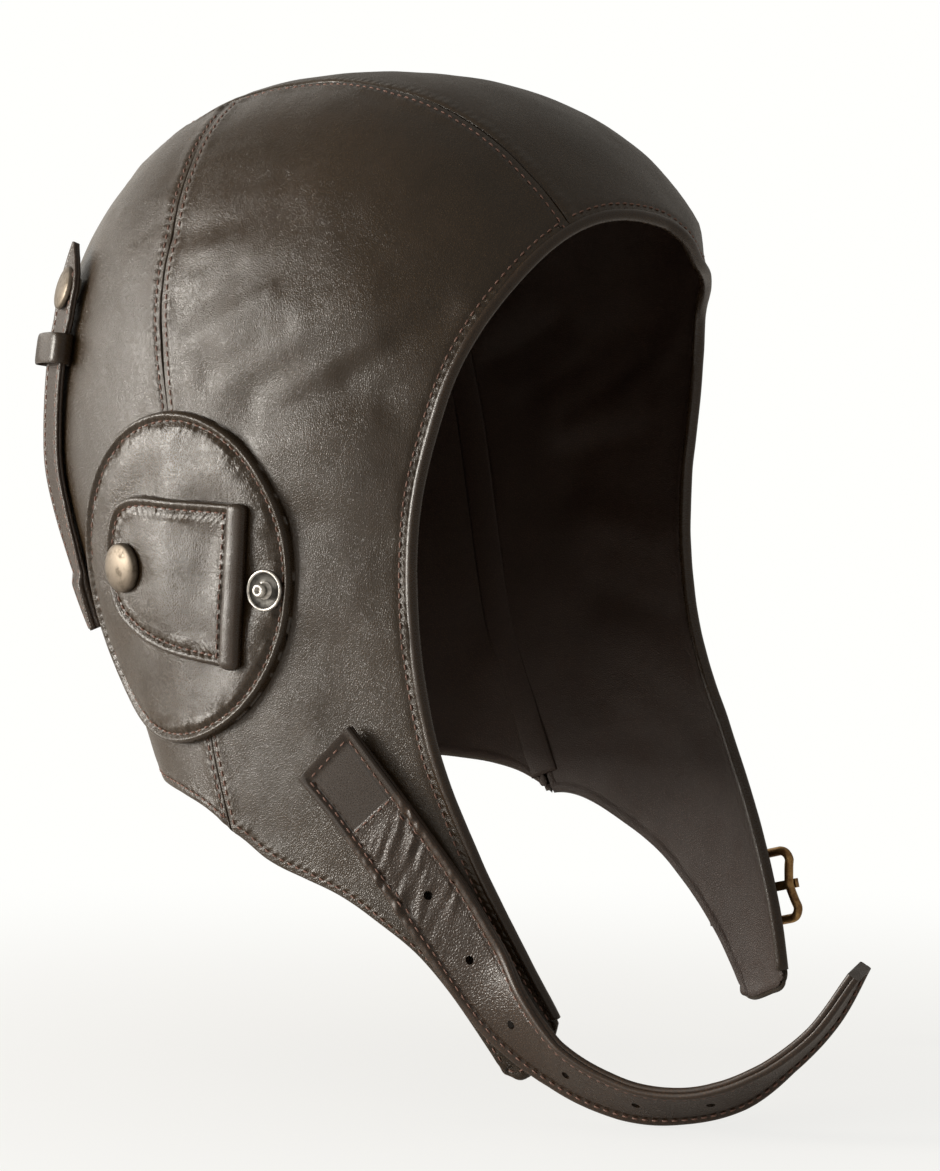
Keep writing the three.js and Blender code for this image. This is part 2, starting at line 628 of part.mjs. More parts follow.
// Leather plate that follows the skin, from an outline round a centre
function platePiece(side, outline, centre, rise, thick) {
  const count = outline.length;
  const layer = (height) => {
    const middle = earPlace(side, centre.x, centre.y);
    const points = [along(middle.point, middle.normal, height)];
    PLATE_RINGS.forEach((scale) => outline.forEach((p) => {
      const place = earPlace(side, centre.x + (p.x - centre.x) * scale, centre.y + (p.y - centre.y) * scale);
      points.push(along(place.point, place.normal, height));
    }));
    return points;
  };
  const corners = [...layer(rise + thick), ...layer(rise)];
  const size = 1 + PLATE_RINGS.length * count;
  const triangles = [];
  const ring = (k, j, base) => base + 1 + k * count + (j % count);
  for (let j = 0; j < count; j += 1) {
    triangles.push([0, ring(0, j, 0), ring(0, j + 1, 0)]);
    triangles.push([size, ring(0, j + 1, size), ring(0, j, size)]);
    for (let k = 0; k < PLATE_RINGS.length - 1; k += 1) {
      triangles.push([ring(k, j, 0), ring(k + 1, j, 0), ring(k + 1, j + 1, 0)]);
      triangles.push([ring(k, j, 0), ring(k + 1, j + 1, 0), ring(k, j + 1, 0)]);
      triangles.push([ring(k, j, size), ring(k + 1, j + 1, size), ring(k + 1, j, size)]);
      triangles.push([ring(k, j, size), ring(k, j + 1, size), ring(k + 1, j + 1, size)]);
    }
    const edge = PLATE_RINGS.length - 1;
    triangles.push([ring(edge, j, 0), ring(edge, j, size), ring(edge, j + 1, size)]);
    triangles.push([ring(edge, j, 0), ring(edge, j + 1, size), ring(edge, j + 1, 0)]);
  }
  return closedGeometry(corners, triangles);
}

// Turned metal piece standing on a place of the skin
function turnedPiece(name, profile, place, rise, material, sides) {
  const points = profile.map(([radius, height]) => new THREE.Vector2(radius, height));
  const mesh = addPiece(name, new THREE.LatheGeometry(points, sides), material);
  mesh.quaternion.setFromUnitVectors(vec(0, 1, 0), place.normal);
  mesh.position.copy(along(place.point, place.normal, rise));
}

// Domed cap profile
const capProfile = ({ diameter, height }) => [
  [0, 0], [diameter * 0.5, 0], [diameter * 0.5, height * 0.25], [diameter * 0.42, height * 0.7],
  [diameter * 0.24, height * 0.95], [0, height],
];

// Snap stud profile: a flange with a raised ring and a post with a bead on it
const studProfile = ({ diameter, height, flange, rim, dish }) => [
  [0, 0], [diameter * 0.5, 0], [diameter * 0.5, flange], [diameter * 0.42, rim], [diameter * 0.32, dish],
  [diameter * 0.17, dish], [diameter * 0.15, height * 0.6], [diameter * 0.2, height * 0.8],
  [diameter * 0.16, height], [0, height],
];

function earCover(side) {
  const patchCentre = new THREE.Vector2(EAR_PATCH.centre, EAR_PATCH.level);
  const oval = Array.from({ length: EAR_PATCH.sides }, (_, i) => {
    const angle = i * 2 * Math.PI / EAR_PATCH.sides;
    return new THREE.Vector2(
      EAR_PATCH.centre + Math.cos(angle) * EAR_PATCH.across / 2,
      EAR_PATCH.level + Math.sin(angle) * EAR_PATCH.tall / 2,
    );
  });
  const patch = platePiece(side, oval, patchCentre, EAR_PATCH.gap, EAR_PATCH.thick);
  addPiece(`ear_patch_${sideName(side)}`, patch, leather);
  const corners = EAR_FLAP_OUTLINE.map((row) => vec(row.along, row.level, 0));
  const curve = new THREE.CatmullRomCurve3(corners, false, 'centripetal');
  const outline = curve.getSpacedPoints(EAR_FLAP.curveSides).map((p) => new THREE.Vector2(p.x, p.y));
  const lastPoint = outline[outline.length - 1];
  const firstPoint = outline[0];
  for (let i = 1; i < EAR_FLAP.frontSides; i += 1) {
    outline.push(lastPoint.clone().lerp(firstPoint, i / EAR_FLAP.frontSides));
  }
  const flapRise = EAR_PATCH.gap + EAR_PATCH.thick + EAR_FLAP.gap;
  const flapCentre = new THREE.Vector2(EAR_FLAP.along, EAR_FLAP.level);
  const flap = platePiece(side, outline, flapCentre, flapRise, EAR_FLAP.thick);
  addPiece(`ear_flap_${sideName(side)}`, flap, leather);
  const capPlace = earPlace(side, SNAP_CAP.along, SNAP_CAP.level);
  const capRise = flapRise + EAR_FLAP.thick + METAL_GAP;
  const capName = `snap_cap_${sideName(side)}`;
  turnedPiece(capName, capProfile(SNAP_CAP), capPlace, capRise, oldBrass, SNAP_CAP.sides);
  const studPlace = earPlace(side, SNAP_STUD.along, SNAP_STUD.level);
  const studRise = EAR_PATCH.gap + EAR_PATCH.thick + METAL_GAP;
  const studName = `snap_stud_${sideName(side)}`;
  turnedPiece(studName, studProfile(SNAP_STUD), studPlace, studRise, nickel, SNAP_STUD.sides);
}

// The skin under a place on the back quarter, by distance from the middle and level
function backPlace(side, out, level) {
  const measure = (p) => [Math.abs(p.x), p.z];
  return skin(findOnSkin(measure, [out, level], side, SEARCH_BACK));
}

// Rectangular ring of corners about a centre
function bandRing(centre, across, normal, width, low, high) {
  const left = along(centre, across, -width / 2);
  const right = along(centre, across, width / 2);
  return [
    along(left, normal, low), along(right, normal, low), along(right, normal, high), along(left, normal, high),
  ];
}

function goggleStrap(side) {
  const rings = GOGGLE_ROWS.map((row) => {
    const { point, normal } = backPlace(side, row.out, row.level);
    const across = vec(0, 0, 1).cross(normal).normalize();
    return bandRing(point, across, normal, row.width, row.stand, row.stand + row.thick);
  });
  addPiece(`goggle_strap_${sideName(side)}`, loftGeometry(rings), leather);
  const snapRow = GOGGLE_ROWS.find((row) => row.level === GOGGLE_SNAP_LEVEL);
  const snapPlace = backPlace(side, snapRow.out, snapRow.level);
  const snapRise = snapRow.stand + snapRow.thick + GOGGLE_SNAP.gap;
  const snapName = `goggle_snap_${sideName(side)}`;
  turnedPiece(snapName, capProfile(GOGGLE_SNAP), snapPlace, snapRise, oldBrass, GOGGLE_SNAP.sides);
  const footHeight = snapRow.stand - METAL_GAP - GOGGLE_SNAP.gap;
  const foot = [[0, 0], [GOGGLE_SNAP.foot / 2, 0], [GOGGLE_SNAP.foot / 2, footHeight], [0, footHeight]];
  turnedPiece(`goggle_stud_${sideName(side)}`, foot, snapPlace, METAL_GAP, oldBrass, GOGGLE_SNAP.footSides);
  keeperLoop(side);
}

// Leather loop round the goggle strap, sewn to the helmet
function keeperLoop(side) {
  const near = GOGGLE_ROWS.find((row) => row.level < KEEPER.level);
  const { point, normal } = backPlace(side, near.out, KEEPER.level);
  const across = vec(0, 0, 1).cross(normal).normalize();
  const innerHalf = near.width / 2 + KEEPER.gap + KEEPER.slack;
  const outerHalf = innerHalf + KEEPER.wall;
  const low = KEEPER.foot;
  const lowInner = near.stand - KEEPER.gap;
  const highInner = near.stand + near.thick + KEEPER.gap;
  const high = highInner + KEEPER.wall;
  const shape = new THREE.Shape();
  shape.moveTo(-outerHalf, low);
  shape.lineTo(outerHalf, low);
  shape.lineTo(outerHalf, high);
  shape.lineTo(-outerHalf, high);
  shape.closePath();
  const hole = new THREE.Path();
  hole.moveTo(-innerHalf, lowInner);
  hole.lineTo(-innerHalf, highInner);
  hole.lineTo(innerHalf, highInner);
  hole.lineTo(innerHalf, lowInner);
  hole.closePath();
  shape.holes.push(hole);
  const geometry = new THREE.ExtrudeGeometry(shape, { depth: KEEPER.tall, bevelEnabled: false, steps: 1 });
  geometry.translate(0, 0, -KEEPER.tall / 2);
  const mesh = addPiece(`goggle_keeper_${sideName(side)}`, geometry, leather);
  const basis = new THREE.Matrix4().makeBasis(across, normal, across.clone().cross(normal).normalize());
  mesh.quaternion.setFromRotationMatrix(basis);
  mesh.position.copy(point);
}

// Place on the side of a flap by its distance back and its level
function flapPlace(side, y, z) {
  const measure = (p) => [p.y, p.z];
  return skin(findOnSkin(measure, [y, z], side, SEARCH_FLAP));
}

// Chin strap as a band of rectangular sections, flat on the flap and twisting as it leaves
function chinStrap() {
  const mid = LAY_GAP + STRAP_THICK / 2;
  const rows = [
    ...STRAP_SEWN.map((row) => {
      const { point, normal } = flapPlace(1, row.y, row.z);
      return { centre: along(point, normal, mid), normal, width: row.width };
    }),
    ...STRAP_FREE.map((row) => ({ centre: vec(row.x, row.y, row.z), roll: row.roll, width: row.width })),
  ];
  const curve = new THREE.CatmullRomCurve3(rows.map((row) => row.centre), false, 'centripetal');
  const spread = (t, pick) => {
    const place = t * (rows.length - 1);
    const k = Math.min(Math.floor(place), rows.length - 2);
    return pick(rows[k], rows[k + 1], place - k);
  };
  const rings = [];
  const frames = [];
  for (let i = 0; i <= STRAP_STEPS; i += 1) {
    const t = i / STRAP_STEPS;
    const centre = curve.getPoint(t);
    const run = curve.getTangent(t);
    const face = (row) => {
      if (row.normal) return row.normal.clone();
      const outside = vec(-1, 0, 0);
      const below = vec(0, run.z, -run.y).normalize();
      const turn = radians(row.roll);
      return outside.multiplyScalar(Math.cos(turn)).addScaledVector(below, -Math.sin(turn));
    };
    const normal = spread(t, (a, b, s) => face(a).lerp(face(b), s));
    normal.addScaledVector(run, -normal.dot(run)).normalize();
    const width = spread(t, (a, b, s) => a.width + (b.width - a.width) * s);
    const across = normal.clone().cross(run).normalize();
    rings.push(bandRing(centre, across, normal, width, -STRAP_THICK / 2, STRAP_THICK / 2));
    frames.push({ centre, normal });
  }
  let solid = toManifold(loftGeometry(rings));
  let travelled = 0;
  let next = STRAP_HOLES.first;
  let made = 0;
  for (let i = 1; i < frames.length && made < STRAP_HOLES.count; i += 1) {
    travelled += frames[i].centre.distanceTo(frames[i - 1].centre);
    if (travelled >= next) {
      const radius = STRAP_HOLES.diameter / 2;
      const punch = new THREE.CylinderGeometry(radius, radius, STRAP_THICK * 2, STRAP_HOLES.sides);
      const turned = new THREE.Quaternion().setFromUnitVectors(vec(0, 1, 0), frames[i].normal);
      punch.applyQuaternion(turned);
      punch.translate(frames[i].centre.x, frames[i].centre.y, frames[i].centre.z);
      solid = solid.subtract(toManifold(punch));
      next += STRAP_HOLES.pitch;
      made += 1;
    }
  }
  addPiece('chin_strap', toGeometry(solid), leather);
}

// Axes of the buckle: its bar's middle, the way the strap runs, and the outward normal
function buckleFrame() {
  const { point, normal } = flapPlace(-1, BUCKLE.y, BUCKLE.z);
  const down = radians(BUCKLE_DOWN);
  const run = vec(0, -Math.cos(down), -Math.sin(down));
  run.addScaledVector(normal, -run.dot(normal)).normalize();
  const bar = normal.clone().cross(run).normalize();
  const loop = BUCKLE.wire + TAB.clear + TAB.thick;
  return { run, bar, normal, centre: along(point, normal, TAB.gap + loop) };
}

// Places a piece drawn in the buckle's own axes: x along the strap, y outward, z along the bar
function setOnBuckle(mesh, frame) {
  const basis = new THREE.Matrix4().makeBasis(frame.run, frame.normal, frame.run.clone().cross(frame.normal));
  mesh.quaternion.setFromRotationMatrix(basis);
  mesh.position.copy(frame.centre);
}

// Brass wire frame: a rounded rectangle with its bar inside the leather loop
function buckleWire(frame) {
  const half = BUCKLE.width / 2;
  const path = [];
  const cornerAt = (x, z, from) => {
    for (let i = 0; i <= CORNER_STEPS; i += 1) {
      const angle = radians(from + 90 * i / CORNER_STEPS);
      path.push(vec(x + Math.cos(angle) * BUCKLE.corner, 0, z + Math.sin(angle) * BUCKLE.corner));
    }
  };
  cornerAt(BUCKLE.length - BUCKLE.corner, half - BUCKLE.corner, 0);
  cornerAt(BUCKLE.corner, half - BUCKLE.corner, 90);
  cornerAt(BUCKLE.corner, -half + BUCKLE.corner, 180);
  cornerAt(BUCKLE.length - BUCKLE.corner, -half + BUCKLE.corner, 270);
  [-1, 0, 1].forEach((place) => {
    const sink = BUCKLE.waist * (place === 0 ? 1 : 0.8);
    path.push(vec(BUCKLE.length - sink, 0, place * half / 3));
  });
  const sides = BUCKLE_SIDES;
  const count = path.length;
  const centre = vec(BUCKLE.length / 2, 0, 0);
  const rings = path.map((p, i) => {
    const run = path[(i + 1) % count].clone().sub(path[(i + count - 1) % count]).normalize();
    const outward = run.clone().cross(vec(0, 1, 0));
    if (outward.dot(p.clone().sub(centre)) < 0) outward.negate();
    return Array.from({ length: sides }, (_, k) => {
      const angle = (k + 0.5) * 2 * Math.PI / sides;
      const corner = along(p, outward, Math.cos(angle) * BUCKLE.wire);
      return along(corner, vec(0, 1, 0), Math.sin(angle) * BUCKLE.wire);
    });
  });
  const triangles = [];
  for (let i = 0; i < count; i += 1) {
    for (let k = 0; k < sides; k += 1) {
      const a = i * sides + k;
      const b = i * sides + (k + 1) % sides;
      const c = ((i + 1) % count) * sides + (k + 1) % sides;
      const d = ((i + 1) % count) * sides + k;
      triangles.push([a, b, c], [a, c, d]);
    }
  }
  setOnBuckle(addPiece('buckle_frame', closedGeometry(rings.flat(), triangles), brass), frame);
}

// Prong: an eye round the bar and a pin that lies on the far side of the frame
function bucklePin(frame) {
  const eye = BUCKLE.wire + METAL_GAP;
  const outerEye = eye + PRONG.eyeWall;
  const top = BUCKLE.wire + METAL_GAP;
  const tip = BUCKLE.length - BUCKLE.waist + PRONG.past;
  const shape = new THREE.Shape();
  shape.absarc(0, 0, outerEye, Math.asin(top / outerEye), 2 * Math.PI - 0.2, false);
  shape.lineTo(outerEye + PRONG.root, 0.2);
  shape.lineTo(BUCKLE.length - PRONG.taper, top);
  shape.lineTo(tip, top);
  shape.lineTo(tip, top + PRONG.tip);
  shape.lineTo(BUCKLE.length - PRONG.taper, top + PRONG.thick);
  shape.lineTo(outerEye, top + PRONG.thick * 0.4);
  shape.closePath();
  const hole = new THREE.Path();
  hole.absarc(0, 0, eye, 0, 2 * Math.PI, true);
  shape.holes.push(hole);
  const settings = { depth: PRONG.width, bevelEnabled: false, curveSegments: ARC_STEPS };
  const geometry = new THREE.ExtrudeGeometry(shape, settings);
  geometry.translate(0, 0, -PRONG.width / 2);
  setOnBuckle(addPiece('buckle_prong', geometry, brass), frame);
}

// Leather tab: a loop round the bar with a slot for the prong, and a tail sewn on the flap
function buckleTab(frame) {
  const eye = BUCKLE.wire + TAB.clear;
  const outer = eye + TAB.thick;
  const { neck } = TAB;
  const shape = new THREE.Shape();
  shape.absarc(0, 0, outer, -Math.PI * 0.62, Math.PI * 0.62, false);
  shape.lineTo(-neck, -outer + 2 * TAB.thick);
  shape.lineTo(-neck, -outer);
  shape.closePath();
  const hole = new THREE.Path();
  hole.absarc(0, 0, eye, 0, 2 * Math.PI, true);
  shape.holes.push(hole);
  const settings = { depth: TAB.width, bevelEnabled: false, curveSegments: ARC_STEPS };
  const loop = new THREE.ExtrudeGeometry(shape, settings);
  loop.translate(0, 0, -TAB.width / 2);
  const slot = new THREE.BoxGeometry(TAB_SLOT.long, TAB_SLOT.deep, TAB_SLOT.wide);
  slot.translate(TAB_SLOT.shift, 0, 0);
  const looped = toManifold(loop).subtract(toManifold(slot));
  const basis = new THREE.Matrix4().makeBasis(frame.run, frame.normal, frame.run.clone().cross(frame.normal));
  basis.setPosition(frame.centre);
  const placed = toGeometry(looped);
  placed.applyMatrix4(basis);
  const start = along(frame.centre, frame.run, -neck + TAB.lap);
  const rings = Array.from({ length: TAB.steps + 1 }, (_, i) => {
    const target = along(start, frame.run, -(TAB.tail - neck) * i / TAB.steps);
    const { point, normal } = flapPlace(-1, target.y, target.z);
    const first = along(start, frame.normal, -outer);
    const base = i === 0 ? first : along(point, normal, TAB.gap);
    const face = i === 0 ? frame.normal : normal;
    return bandRing(base, frame.bar, face, TAB.width, 0, 2 * TAB.thick);
  });
  const whole = toManifold(placed).add(toManifold(loftGeometry(rings)));
  addPiece('buckle_tab', toGeometry(whole), leather);
}

crownStrip();
[1, -1].forEach((side) => {
  sidePanel(side);
  backPanel(side);
  earCover(side);
  goggleStrap(side);
});
faceBinding();
chinStrap();
const buckle = buckleFrame();
buckleWire(buckle);
bucklePin(buckle);
buckleTab(buckle);

export default helmet;
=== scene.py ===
"""Leather motoring helmet: sewn panels, ear covers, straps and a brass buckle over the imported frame."""
import math

import bmesh
import bpy
import numpy as np
from bpy.props import FloatProperty, FloatVectorProperty, PointerProperty
from mathutils import Matrix, Vector, noise
from mathutils.bvhtree import BVHTree


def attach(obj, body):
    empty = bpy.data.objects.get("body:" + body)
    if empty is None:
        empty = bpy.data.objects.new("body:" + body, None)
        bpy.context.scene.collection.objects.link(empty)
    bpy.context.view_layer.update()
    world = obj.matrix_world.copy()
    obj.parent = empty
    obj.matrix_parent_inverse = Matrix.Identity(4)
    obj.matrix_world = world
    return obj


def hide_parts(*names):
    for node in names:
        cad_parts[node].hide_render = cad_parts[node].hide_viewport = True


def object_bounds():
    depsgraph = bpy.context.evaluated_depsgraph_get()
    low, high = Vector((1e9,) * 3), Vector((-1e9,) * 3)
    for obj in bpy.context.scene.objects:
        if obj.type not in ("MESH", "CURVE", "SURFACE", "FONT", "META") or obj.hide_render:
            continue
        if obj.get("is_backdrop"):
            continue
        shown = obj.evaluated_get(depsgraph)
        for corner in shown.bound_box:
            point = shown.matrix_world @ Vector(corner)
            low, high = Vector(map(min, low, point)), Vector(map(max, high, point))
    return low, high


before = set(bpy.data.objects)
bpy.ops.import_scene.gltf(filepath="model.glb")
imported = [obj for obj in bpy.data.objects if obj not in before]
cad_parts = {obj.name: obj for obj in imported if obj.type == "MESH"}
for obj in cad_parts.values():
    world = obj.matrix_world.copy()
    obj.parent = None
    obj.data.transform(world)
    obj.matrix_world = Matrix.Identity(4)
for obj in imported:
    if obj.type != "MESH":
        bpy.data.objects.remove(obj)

bl_info = {
    "name": "Leather motoring helmet",
    "version": (1, 0, 0),
    "blender": (4, 5, 0),
    "location": "View3D > Sidebar > Helmet",
    "description": "Builds a sewn leather motoring helmet over its packed frame",
    "category": "Object",
}

CAD_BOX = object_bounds()
MM = 0.001

# Crown form in millimetres, the same surface as the frame's panels
WALL = 2.0
CROWN_HEIGHT = 103
CROWN_REACH = 150
CROWN_SET_BACK = 8
SQUARE_BACK = 2.3
ARCH_FRONT = 2.45
ARCH_BACK = 2.17
ARCH_SIDE = 2.4
SECTIONS = {
    "drop": (0, 40, 80, 120, 160, 200),
    "half": (76, 76, 75.5, 74.5, 72, 69),
    "front": (99, 99, 100, 102, 104, 105),
    "back": (104, 88, 62, 43, 34, 28),
    "square": (2.25, 2.5, 3.0, 3.6, 4.0, 4.0),
}
KICK_BELOW, KICK_FULL = 40, 80
KICK_FORWARD, KICK_OUTWARD = 0.1, 0.02
TUCK_DEPTH, TUCK_TURNS, TUCK_REACH = 3.9, (0, 14, 32, 54), (92, 107)

# Broad folds of the frame: from (turn, reach) to (turn, reach), rise and width
FOLDS = (
    ((92, 128), (62, 118), 1.1, 9),
    ((86, 140), (60, 140), -1.2, 8),
    ((80, 158), (58, 164), 0.9, 9),
    ((108, 100), (84, 92), -0.7, 10),
    ((72, 206), (55, 222), -0.8, 9),
)
# Narrow creases that only the finished leather has, in the same form
CREASES = (
    ((66, 134), (48, 120), -0.8, 4.2),
    ((84, 141), (60, 127), 0.7, 3.8),
    ((98, 134), (79, 123), -0.7, 3.4),
    ((104, 127), (83, 115), 0.8, 3.4),
    ((105, 119), (92, 109), -0.5, 2.8),
    ((110, 106), (94, 100), 0.5, 2.4),
    ((112, 98), (98, 96), -0.35, 1.8),
    ((111, 102), (100, 103), 0.35, 1.6),
    ((110, 110), (101, 111), 0.35, 1.6),
    ((109, 116), (100, 114), -0.3, 1.6),
    ((111, 76), (93, 73), 0.35, 2.6),
    ((100, 84), (84, 84), -0.3, 2.4),
    ((134, 90), (120, 86), 0.35, 2.6),
    ((123, 98), (116, 93), -0.35, 2.2),
    ((84, 152), (62, 146), 0.7, 5.0),
    ((78, 170), (60, 176), -0.7, 5.5),
    ((74, 192), (57, 200), 0.6, 5.5),
    ((70, 222), (52, 244), -0.7, 6.5),
    ((104, 214), (112, 238), -0.7, 6.5),
)

# Front strip seam as lengths over the skin, outward and backward from the crown top
STRIP_SEAM_FRONT = ((32.3, 30.5), (36.5, 6), (38.6, -22), (38.5, -48), (40.2, -74))

# Seams and edges as turn from the front in degrees and reach over the skin from the crown top
STRIP_SEAM_BACK = ((133.4, 44.4), (157, 76), (163, 112), (164, 150), (162, 190), (158, 239.3))
SIDE_SEAM = (
    (133.4, 44.4), (119.8, 66.3), (113.6, 91.2), (111.5, 117.1),
    (108.2, 143), (103, 190), (97.3, 230.6), (92.7, 252.8),
)
FACE_EDGE = {
    1: (
        (0, 96.9), (18.9, 97.3), (35.7, 113.1), (48.6, 141.7), (53.7, 182.1),
        (51.3, 223), (44.6, 255.3), (37.9, 281.3), (33.9, 296.1),
    ),
    -1: (
        (0, 96.9), (6.5, 101), (14, 106), (26, 110.5), (38, 120), (47, 144), (51.2, 180.7),
        (48.5, 219.2), (43.5, 252.8), (40.4, 283), (39.9, 298),
    ),
}
FLAP_BACK = {
    1: (
        (92.7, 252.8), (84, 259.4), (75, 263.8), (61.8, 272.2),
        (53.3, 281.9), (48.3, 291.5), (44.5, 301.2), (41.2, 310.9),
    ),
    -1: (
        (92.7, 252.8), (76, 259.5), (66.7, 268.7), (60.7, 278.7),
        (56.3, 288.7), (53, 298.7), (50.5, 307.5),
    ),
}
FLAP_TIP = {
    1: ((41.2, 310.9), (38.6, 312), (35.4, 305.5), (33.9, 296.1)),
    -1: ((50.5, 307.5), (48.4, 308.4), (44.4, 306), (41, 303), (39.9, 298)),
}
NAPE_HEM = (
    (92.7, 252.8), (98.6, 247.8), (106.8, 244.3), (115, 242.7),
    (125, 241.5), (136, 240.6), (147, 239.9), (158, 239.3),
)

# Binding, and how far the stitch lines lie inside the edges
BINDING_ACROSS, BINDING_THICK, BINDING_LIFT, BINDING_OVERLAP = 3.0, 3.6, 0.5, 0.3
FACE_STITCH, SEAM_STITCH, HEM_STITCH = 4.4, 2.1, 2.4

# How panels end: reach and depth of the turned edge, then place, width and rise of each dip or swell
EDGE_FORMS = {
    "seam": (0.5, 0.35, ((SEAM_STITCH, 0.6, -0.2), (4.2, 1.5, 0.25))),
    "plain": (1.1, 0.8, ()),
    "binding": (3.6, 0.9, ((FACE_STITCH, 0.8, -0.28),)),
    "hem": (0.9, 0.7, ((HEM_STITCH, 0.7, -0.25),)),
}
# Soft unevenness of the panels: rise, size and seed of each, and the puckers' place and spread from an edge
PANEL_LUMPS = ((0.65, 26, 0), (0.2, 10, 7))
PANEL_PUCKERS, PUCKER_PLACE, PUCKER_SPREAD = (0.22, 3.6, 3), 4.2, 2.2
# Share of the frame's wall that the finished leather and its lining take
PANEL_SHARE = 0.9

# One stitch: place along its length, lift in thread widths and share of the thread's thickness
STITCH_STATIONS = (
    (-0.52, -0.7, 0), (-0.48, -0.5, 0.4), (-0.3, 0.0, 0.85), (0, 0.16, 1),
    (0.3, 0.0, 0.85), (0.48, -0.5, 0.4), (0.52, -0.7, 0),
)

# Tape behind the seams
TAPE_ACROSS, TAPE_THICK = 9, 0.9

# Ear cover, measured along the head and by level, with profiles as length inside the edge and height
EAR_TILT = 15
PATCH_CENTRE, PATCH_LEVEL, PATCH_ACROSS, PATCH_TALL = 2.4, -137, 78, 88.5
PATCH_TOP = 2.2
PATCH_PROFILE = (
    (0, 0.1), (0.2, 1.2), (0.5, 2.1), (1.0, 2.6), (1.5, 2.55), (2.1, 1.9), (2.7, 1.35),
    (3.3, 1.65), (4.4, 2.2), (6, 2.55), (8, 2.65), (11, 2.5), (16, PATCH_TOP), (60, PATCH_TOP),
)
PATCH_STITCH, PATCH_STITCH_RISE, PATCH_PUCKERS, PATCH_LUMPS = 2.7, 1.4, 0.5, 1.1
FLAP_CENTRE = (4, -137)
FLAP_TOP = 4.1
FLAP_PROFILE = (
    (0, 2.4), (0.2, 3.4), (0.5, 4.2), (1.0, 4.6), (1.6, 4.5), (2.2, 4.0), (2.8, 3.5), (3.4, 3.7),
    (4.2, 3.95), (5.2, FLAP_TOP), (60, FLAP_TOP),
)
FLAP_STITCH, FLAP_STITCH_RISE, FLAP_PUCKERS, FLAP_LUMPS = 2.8, 3.5, 0.35, 1.0
ROLL_AHEAD, ROLL_LOW, ROLL_ACROSS, ROLL_TALL, ROLL_STITCH = 0.4, 2.2, 6.2, 3.6, 4.6
ROLL_SQUARE, ROLL_END, ROLL_END_SHARE = 0.88, 2.0, 0.35
FLAP_OUTLINE = (
    (-22.4, -117.4), (-2, -116.2), (15.5, -115.4), (22, -118.5), (26, -128),
    (26, -138), (22.5, -146.5), (14, -152.5), (2, -157), (-19.5, -160.8),
)
CAP_ALONG, CAP_LEVEL, CAP_ACROSS, CAP_TALL = 17.8, -134.3, 13.5, 3.0
STUD_ALONG, STUD_LEVEL, STUD_ACROSS, STUD_TALL = -29.2, -139.9, 11, 3.6
# Shares of the stud's width between which its dish is dark
STUD_DISH = (0.19, 0.415)

# Goggle strap: level, distance from the middle, height over the skin, width and thickness
GOGGLE_ROWS = (
    (-47, 49.5, 4.2, 2.5, 2.0), (-51, 51, 3.4, 10, 2.0), (-55, 52.5, 2.8, 15, 2.0), (-59, 53.8, 2.4, 16, 2.0),
    (-67, 55, 1.8, 16, 2.0), (-76, 55, 1.5, 16, 2.0), (-90, 55, 1.2, 16, 2.0), (-104, 55, 1.1, 16, 2.0),
    (-117, 55, 1.1, 16, 2.0), (-128, 54.5, 1.1, 16, 2.0), (-136, 53.3, 1.1, 16, 2.2),
    (-139, 52.8, 1.1, 16, 3.6), (-151, 51.5, 1.1, 16, 3.8),
)
GOGGLE_SINK, GOGGLE_STITCH, GOGGLE_WELT, GOGGLE_STITCH_OUT = 0.8, 2.2, 0.15, 5.8
GOGGLE_WAVE, GOGGLE_WAVE_SIZE = 0.25, 16
GOGGLE_SNAP_LEVEL, GOGGLE_SNAP_ACROSS, GOGGLE_SNAP_TALL = -59, 12.5, 2.2
KEEPER_LEVEL, KEEPER_TALL, KEEPER_WALL, KEEPER_ROOM, KEEPER_LOW = -75, 8.5, 1.2, 1.4, 0.6

# Chin strap: sewn stretch as (y, z, width) on the flap, free stretch as (x, y, z, roll, width)
STRAP_GAP, STRAP_THICK, STRAP_SLACK = 0.7, 3.3, 0.2
STRAP_WAVE, STRAP_WAVE_SIZE = 0.12, 12
STRAP_SEWN = ((-28.3, -181.5, 21), (-37.4, -191.4, 20), (-48.4, -204.5, 20), (-59.2, -218.5, 20))
STRAP_FREE = (
    (-72.3, -71.5, -234.5, -4, 19.3), (-72.5, -80.5, -245.7, 15, 19.2), (-71.2, -94, -256.9, 37, 19),
    (-69, -110.5, -263.9, 47, 18.8), (-67, -125.3, -265, 60, 18.5), (-65, -140.3, -261.5, 71, 18),
    (-63, -152.3, -253.9, 87, 17.5), (-61, -163.5, -243.4, 97, 17), (-59.5, -172.6, -229.2, 105, 16.2),
)
STRAP_HOLES, STRAP_HOLE_ACROSS, STRAP_HOLE_FIRST, STRAP_HOLE_PITCH = 6, 2.3, 46, 19.5
STRAP_STITCH, STRAP_WELT, STRAP_BOX = 2.9, 0.7, 21
# Section of any strap: the dip at its stitches, its rounded edge, its corner and the line between layers
STRAP_DIP_WIDTH, STRAP_DIP = 0.5, 0.28
STRAP_ROUND_REACH, STRAP_ROUND = 0.8, 0.16
STRAP_CORNER, STRAP_LINE, STRAP_LINE_DEPTH = 0.3, 0.08, 0.28
WRINKLE_PLACE, WRINKLE_SPREAD, WRINKLE_RISE, WRINKLE_START = 36, 18, 0.8, 4

# Buckle frame and its leather tab, with the gaps from the flap to the tab and from the tab to the bar
BUCKLE_Y, BUCKLE_Z, BUCKLE_DOWN = -66.6, -229.6, -13
BUCKLE_WIDTH, BUCKLE_LENGTH, BUCKLE_WIRE, BUCKLE_CORNER, BUCKLE_WAIST = 19.4, 18, 1.3, 3, 1.8
TAB_GAP, TAB_CLEAR, TAB_THICK = 0.75, 0.6, 1.6

